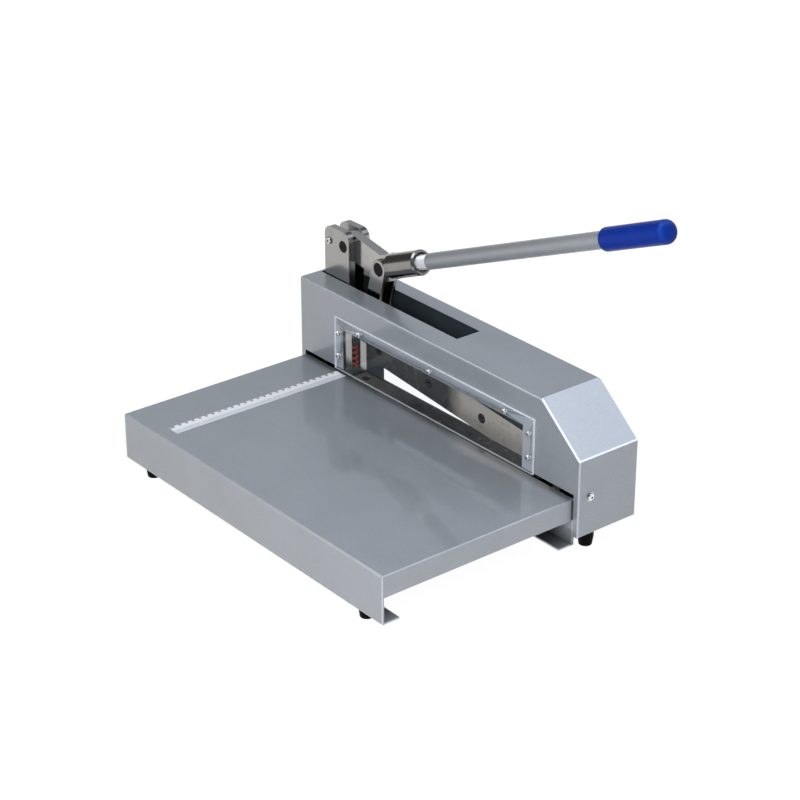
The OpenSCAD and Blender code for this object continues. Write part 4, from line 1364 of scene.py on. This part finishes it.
@dataclass
class LeverArm:
    """The lever's block and socket, the handle tube with its thread, and the grip."""

    slope: float = 22.35
    rise: float = 0.7
    thread_from: float = 35.0
    socket_from: float = 26.0
    socket_end: float = 80.0
    thread_show: float = 18.5
    thread_r: float = 9.7
    thread_pitch: float = 1.8
    thread_depth: float = 0.95
    thread_sides: int = 48
    thread_rows: int = 8
    run_out: float = 2.5
    tube_r: float = 10.65
    tube_to: float = 538.5
    grip_from: float = 434.5
    grip_to: float = 543.0
    grip_r: float = 14.3
    grip_round: float = 9.0
    grip_play: float = 0.02
    grip_wall: float = 4.0
    lip: float = 2.2
    lip_deep: float = 12.0
    lip_bore: float = 0.6
    swell: float = 0.1
    swell_at: float = 0.35
    swell_end: float = 2.0
    tube_edge: float = 0.3

    def axis(self) -> Matrix:
        """Where the handle's axis lies.

        Returns:
            The placing whose Z runs along the handle from the upper link pin.
        """
        pin = Vector(JOINTS["link_pivot"]["pos_m"])
        angle = math.radians(self.slope)
        above = Vector((-math.sin(angle), 0.0, math.cos(angle))) * self.rise * MM
        return toward(pin + above, Vector((math.cos(angle), 0.0, math.sin(angle))))

    def build(self) -> None:
        """Dresses the lever and makes the thread, the tube and the grip."""
        Kept("lever", PLATED_TURNED, bevel=0.0007).dress()
        back = self.axis().inverted()
        # the socket takes the darker copy of the plating, a painted dark reflection
        repaint("lever", DIMMED_SOCKET, lambda face: (back @ face.center).z > self.socket_from * MM)
        Kept("lever_bush", BRONZE, bevel=0.0003).dress()
        Kept("upper_pin_clip", BLACK_STEEL, bevel=0.0002).dress()
        Pin("upper_pin", "upper_link_pin", Body.LEVER).build()
        self.thread()
        self.tube()
        self.grip()

    def thread(self) -> None:
        """The bright threaded end of the tube, with a real helical ridge."""
        start, end = self.thread_from, self.socket_end + self.thread_show
        rows = int((end - start) / self.thread_pitch * self.thread_rows)
        rings = []
        for k in range(rows + 1):
            z = start + (end - start) * k / rows
            ease = min(1.0, (end - z) / self.run_out)
            ring = []
            for i in range(self.thread_sides):
                turn = i / self.thread_sides
                phase = (z / self.thread_pitch - turn) % 1.0
                radius = (self.thread_r - self.thread_depth * abs(2.0 * phase - 1.0) * ease) * MM
                ring.append((radius * math.cos(math.tau * turn), radius * math.sin(math.tau * turn), z * MM))
            rings.append(ring)
        Piece("handle_thread", Body.LEVER, WHITE_ZINC, "zinc_steel", sharp=60.0).make(
            moved(skinned(rings), self.axis()))

    def tube(self) -> None:
        """The painted tube, sawn square at the thread."""
        r, start, end = self.tube_r * MM, (self.socket_end + self.thread_show) * MM, self.tube_to * MM
        edge = self.tube_edge * MM
        profile = [(0.0, start), (r - edge, start), (r, start + edge), (r, end), (0.0, end)]
        Piece("painted_tube", Body.LEVER, TUBE_PAINT, "tube_paint", ("handle_tube",)).make(
            moved(lathe(profile, segments=72), self.axis()))

    def grip(self) -> None:
        """The dipped vinyl grip: a rolled lip at the tube and a full round end."""
        r, bore = self.grip_r * MM, (self.tube_r + self.grip_play) * MM
        start, end, turn = self.grip_from * MM, self.grip_to * MM, self.grip_round * MM
        lip, soft, wall = self.lip * MM, self.lip_bore * MM, end - self.grip_wall * MM
        profile = [(bore, start + self.lip_deep * MM), (bore, start + soft), (bore + soft, start)]
        profile += [(r - lip + lip * math.sin(a), start + lip - lip * math.cos(a)) for a in quarter(6)]
        profile.append((r - self.swell * MM, start + (end - start) * self.swell_at))
        profile.append((r, end - turn - self.swell_end * MM))
        profile += [(r - turn + turn * math.cos(a), end - turn + turn * math.sin(a)) for a in quarter(10)]
        profile += [(0.0, end), (0.0, wall), (bore, wall)]
        way = tuple(self.axis().to_3x3() @ UP)
        vinyl = GripVinyl("blue_vinyl", (0.0022, 0.0265, 0.272), (0.005, 0.036, 0.33), 0.38, 2200.0, 0.00004,
                          gloss=0.14, way=way)
        Piece("grip", Body.LEVER, vinyl, "blue_grip", ("hand_grip",)).make(
            moved(lathe(profile, segments=72, closed=True), self.axis()))


@dataclass
class LinkPair:
    """The two link plates between the lever and the blade holder."""

    def build(self) -> None:
        """Dresses the links."""
        for node in ("front_link", "rear_link"):
            Kept(node, PLATED_UPRIGHT, bevel=0.0005).dress()


@dataclass
class MovingBlade:
    """The upper blade with its holder, bolts, bush and lower pin."""

    upward: float = 0.5
    face_share: float = 0.15
    bore_area: float = 6e-5

    def build(self) -> None:
        """Dresses the blade body."""
        # the holder is near black, a painted shade
        Kept("blade_holder", SHADE_DARK_STEEL, bevel=0.0006).dress()
        Kept("upper_blade", BLADE, bevel=0.0003).dress()
        low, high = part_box("upper_blade")
        inner = low.y + (high.y - low.y) * self.face_share
        # the blade's upward faces are painted near black, a painted shade under the cover
        repaint("upper_blade", SHADE_DARK_STEEL, lambda face: face.normal.z > self.upward)
        repaint("upper_blade", BLACK_STEEL,
                lambda face: face.center.y > inner and face.area < self.bore_area)
        Kept("blade_bolts", BLACK_STEEL, bevel=0.0003).dress()
        Kept("pivot_bush", BRONZE).dress()
        Kept("lower_pin_clip", BLACK_STEEL, bevel=0.0002).dress()
        Pin("lower_pin", "lower_link_pin", Body.BLADE).build()


@dataclass
class ReturnSpring:
    """The red return spring between its seat and the blade holder's foot."""

    curls: float = 5.0
    closed: float = 0.85
    wire_r: float = 1.2
    wire_sides: int = 14
    coil_room: float = 1.04
    per_curl: int = 28

    def build(self) -> None:
        """Winds the wire with closed ends, and works out how far the blade's drop would shorten it."""
        low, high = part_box("return_spring")
        middle = (low + high) / 2
        wire = self.wire_r * MM
        radius = (high.y - low.y) / 2 - wire
        total = self.curls + 2.0 * self.closed
        rise = high.z - low.z - 2.0 * wire
        flat = 2.0 * wire * self.coil_room
        pitch = (rise - 2.0 * self.closed * flat) / self.curls
        count = int(total * self.per_curl)
        path = []
        for i in range(count + 1):
            turn = total * i / count
            ends = min(turn, self.closed) + max(0.0, turn - self.closed - self.curls)
            open_turn = min(max(turn - self.closed, 0.0), self.curls)
            height = low.z + wire + ends * flat + open_turn * pitch
            angle = math.tau * turn
            x, y = radius * math.cos(angle), radius * math.sin(angle)
            path.append(Vector((middle.x + x, middle.y + y, height)))
        angles = [math.tau * k / self.wire_sides for k in range(self.wire_sides)]
        rings = []
        for i, point in enumerate(path):
            along = (path[min(i + 1, count)] - path[max(i - 1, 0)]).normalized()
            out = Vector((point.x - middle.x, point.y - middle.y, 0.0)).normalized()
            side = along.cross(out).normalized()
            out = side.cross(along)
            rings.append([point + wire * (math.cos(a) * out + math.sin(a) * side) for a in angles])
        piece = Piece("wound_spring", Body.FRAME, SPRING_PAINT, "red_spring", ("return_spring",)).make(
            skinned(rings))
        joint = JOINTS["blade_pivot"]
        reach = abs(middle.x - joint["pos_m"][0]) + radius + 2.0 * wire
        drop = reach * math.sin(math.radians(max(abs(v) for v in joint["range_deg"])))
        keep = 1.0 - drop / (high.z - low.z)
        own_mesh(piece)


@dataclass
class RubberFeet:
    """The four rubber feet with the screws that hold them."""

    front_x: float = 218.0
    front_y: float = -274.4
    rear_x: float = 252.0
    rear_y: float = 32.0
    seat: float = 6.0
    tread: float = 8.3
    wide: float = 9.95
    cone: float = 12.0
    tread_round: float = 1.1
    edge: float = 0.4
    head_hole: float = 5.2
    screw_hole: float = 2.6
    thread: float = 5.0
    front_length: float = 14.0
    rear_length: float = 29.6

    def foot(self, node: str, places: list[tuple[Vector, Vector]]) -> None:
        """Turns a foot that is coned at the tread.

        Args:
            node: the CAD node, which gives the height.
            places: where its screws sit, and their directions.
        """
        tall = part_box(node)[1].z / MM
        turned = self.tread_round
        tread = [(self.tread - turned * (1.0 - math.sin(a)), turned * (1.0 - math.cos(a)))
                 for a in quarter(5)]
        body = [(self.wide, self.cone), (self.wide, tall - self.edge), (self.wide - self.edge, tall)]
        hole = [(self.screw_hole, tall), (self.screw_hole, self.seat), (self.head_hole, self.seat),
                (self.head_hole, self.edge), (self.head_hole + self.edge, 0.0)]
        pattern = lathe([(r * MM, z * MM) for r, z in tread + body + hole], segments=48, closed=True)
        copies = spread(pattern, [Matrix.Translation((spot.x, spot.y, 0.0)) for spot, _ in places])
        name = node.replace("feet", "rubber_feet")
        Piece(name, Body.FRAME, RUBBER, "black_rubber", (node,)).make(copies)

    def build(self) -> None:
        """Makes the feet and their screws."""
        Kept("front_foot_nuts", ZINC).dress()
        front = [(DATUM.at(s * self.front_x, self.front_y, self.seat), DOWN) for s in (-1, 1)]
        rear = [(DATUM.at(s * self.rear_x, self.rear_y, self.seat), DOWN) for s in (-1, 1)]
        self.foot("front_feet", front)
        self.foot("rear_feet", rear)
        ScrewSet("front_foot_screw_set", self.thread, self.front_length, ("front_foot_screws",),
                 front).build()
        ScrewSet("rear_foot_screw_set", self.thread, self.rear_length, ("rear_foot_screws",), rear).build()


@dataclass(frozen=True)
class SoftBox:
    """A lamp that looks at a point, and may be mirrored in what is glossy."""

    name: str
    place: Triple
    aim: Triple
    size: tuple[float, float]
    power: float
    colour: Colour
    mirrored: bool = True

    def build(self) -> None:
        """Hangs the lamp out of the camera's sight."""
        data = bpy.data.lights.new(self.name, "AREA")
        data.shape = "RECTANGLE"
        data.size, data.size_y = self.size
        data.energy = self.power
        data.color = self.colour
        piece = bpy.data.objects.new(self.name, data)
        piece.location = self.place
        piece.rotation_mode = "QUATERNION"
        piece.rotation_quaternion = (Vector(self.aim) - Vector(self.place)).to_track_quat("-Z", "Y")
        piece.visible_camera = False
        piece.visible_glossy = self.mirrored
        bpy.context.scene.collection.objects.link(piece)


@dataclass(frozen=True)
class DarkWall:
    """A dark part of the room, as it looks in a gloss."""

    aim: Triple
    start: float
    full: float
    depth: float

    def level(self, tree: ShaderTree) -> Field:
        """The world's level, which falls from 1 by a depth towards the wall."""
        near = tree.dot(tree.coordinate("Generated"), tuple(Vector(self.aim).normalized()))
        return 1.0 - tree.level(near, self.start, self.full) * self.depth


SKY_LIGHT = (0.82, 0.88, 1.0)
WARM_LIGHT = (1.0, 0.99, 0.96)
COOL_LIGHT = (0.94, 1.0, 1.0)
SOFT_BOXES = (
    SoftBox("back_box", (0.75, 1.35, 1.85), (0.1, 0.05, 0.12), (1.2, 1.2), 13.8, SKY_LIGHT),
    SoftBox("front_box", (-0.75, -1.85, 1.55), (0.0, -0.05, 0.1), (2.2, 0.8), 9.6, WARM_LIGHT),
    SoftBox("near_box", (0.85, -0.80, 0.75), (0.12, -0.15, 0.08), (0.5, 0.4), 10.2, WARM_LIGHT, False),
    SoftBox("top_box", (0.0, -0.25, 1.9), (0.0, -0.05, 0.1), (1.0, 1.0), 9.2, COOL_LIGHT),
)
DARK_WALLS = (
    DarkWall((-0.95, -0.15, 0.20), 0.82, 0.97, 0.85),
    DarkWall((-0.75, 0.60, 0.28), 0.35, 0.95, 0.20),
    DarkWall((0.70, -0.56, 0.30), 0.60, 0.97, 0.72),
)


@dataclass
class Studio:
    """The camera, the soft lights and the white floor."""

    azimuth: float = 51.07
    elevation: float = 26.11
    place: Triple = (1975.3, -1645.6, 1365.1)
    lens: float = 103.14
    sensor: float = 36.0
    clip: tuple[float, float] = (0.05, 100.0)
    soft: float = 0.11
    soft_colour: Colour = (1.0, 0.98, 0.95)
    zenith: Colour = (0.64, 0.68, 0.74)
    sky_rise: tuple[float, float] = (0.05, 0.50)
    floor_grey: Colour = (0.86, 0.86, 0.86)
    floor_rough: float = 0.9
    floor_fade: tuple[float, float] = (0.45, 1.1)
    floor_half: float = 12.0
    floor_white: float = 1.075
    floor_share: float = 0.90

    def build(self) -> None:
        """Sets up what the machine is photographed in."""
        self.camera()
        self.world()
        self.floor()
        for box in SOFT_BOXES:
            box.build()

    def camera(self) -> None:
        """The camera at the photograph's place."""
        data = bpy.data.cameras.new("camera")
        data.lens = self.lens
        data.sensor_width = self.sensor
        data.dof.use_dof = False
        data.clip_start, data.clip_end = self.clip
        piece = bpy.data.objects.new("camera", data)
        a, e = math.radians(self.azimuth), math.radians(self.elevation)
        back = Vector((math.sin(a) * math.cos(e), -math.cos(a) * math.cos(e), math.sin(e)))
        piece.location = DATUM.at(*self.place)
        piece.rotation_mode = "QUATERNION"
        piece.rotation_quaternion = (-back).to_track_quat("-Z", "Y")
        bpy.context.scene.collection.objects.link(piece)
        bpy.context.scene.camera = piece

    def world(self) -> None:
        """White to the camera and through glass, a sky with dark walls to gloss, and a plain soft light to
        the rest.
        """
        world = bpy.data.worlds.new("studio")
        bpy.context.scene.world = world
        tree = ShaderTree(world)
        inputs = {"Color": (*self.soft_colour, 1.0), "Strength": self.soft}
        soft = tree.node("ShaderNodeBackground", {}, inputs)
        white = tree.node("ShaderNodeBackground", {}, {"Color": WHITE, "Strength": 1.0})
        height = tree.level(tree.part(tree.coordinate("Generated"), 2), *self.sky_rise)
        sky = tree.tint(height, WHITE[:3], self.zenith)
        left, wall, room = [dark.level(tree) for dark in DARK_WALLS]
        walls = tree.node("ShaderNodeBackground", {}, {"Color": sky, "Strength": left * wall * room})
        gloss = tree.ray("Is Glossy Ray")
        shown = tree.blend(gloss, white, walls)
        tree.show(tree.blend(tree.seen(), soft, shown), "ShaderNodeOutputWorld")
        bpy.context.scene.view_settings.view_transform = "Standard"

    def floor(self) -> None:
        """A wide pale floor that keeps a faint shadow."""
        mesh = bpy.data.meshes.new("floor")
        made = bmesh.new()
        bmesh.ops.create_grid(made, x_segments=4, y_segments=4, size=self.floor_half)
        made.to_mesh(mesh)
        made.free()
        piece = bpy.data.objects.new("floor", mesh)
        bpy.context.scene.collection.objects.link(piece)
        material = bpy.data.materials.new("white_floor")
        tree = ShaderTree(material)
        lit = tree.surface(Base_Color=self.floor_grey, Roughness=self.floor_rough)
        white = tree.node("ShaderNodeEmission", {}, {"Color": WHITE, "Strength": self.floor_white})
        away = tree.node("ShaderNodeVectorMath", {"operation": "LENGTH"}, {0: tree.spot()}, "Value")
        share = self.floor_share + tree.level(away, *self.floor_fade) * (1.0 - self.floor_share)
        tree.show(tree.blend(tree.seen() * share, lit, white))
        mesh.materials.append(material)


def main() -> None:
    """Builds the studio and every sub-assembly."""
    logging.basicConfig(level=logging.INFO, format="%(message)s")
    assemblies = (
        Studio(), TableTray(), CoverHood(), GuardPlate(), BladeBed(), PostStand(), LeverArm(), LinkPair(),
        MovingBlade(), ReturnSpring(), RubberFeet(),
    )
    for assembly in assemblies:
        assembly.build()
        log.info("%s built", type(assembly).__name__)


if __name__ == "__main__":
    main()
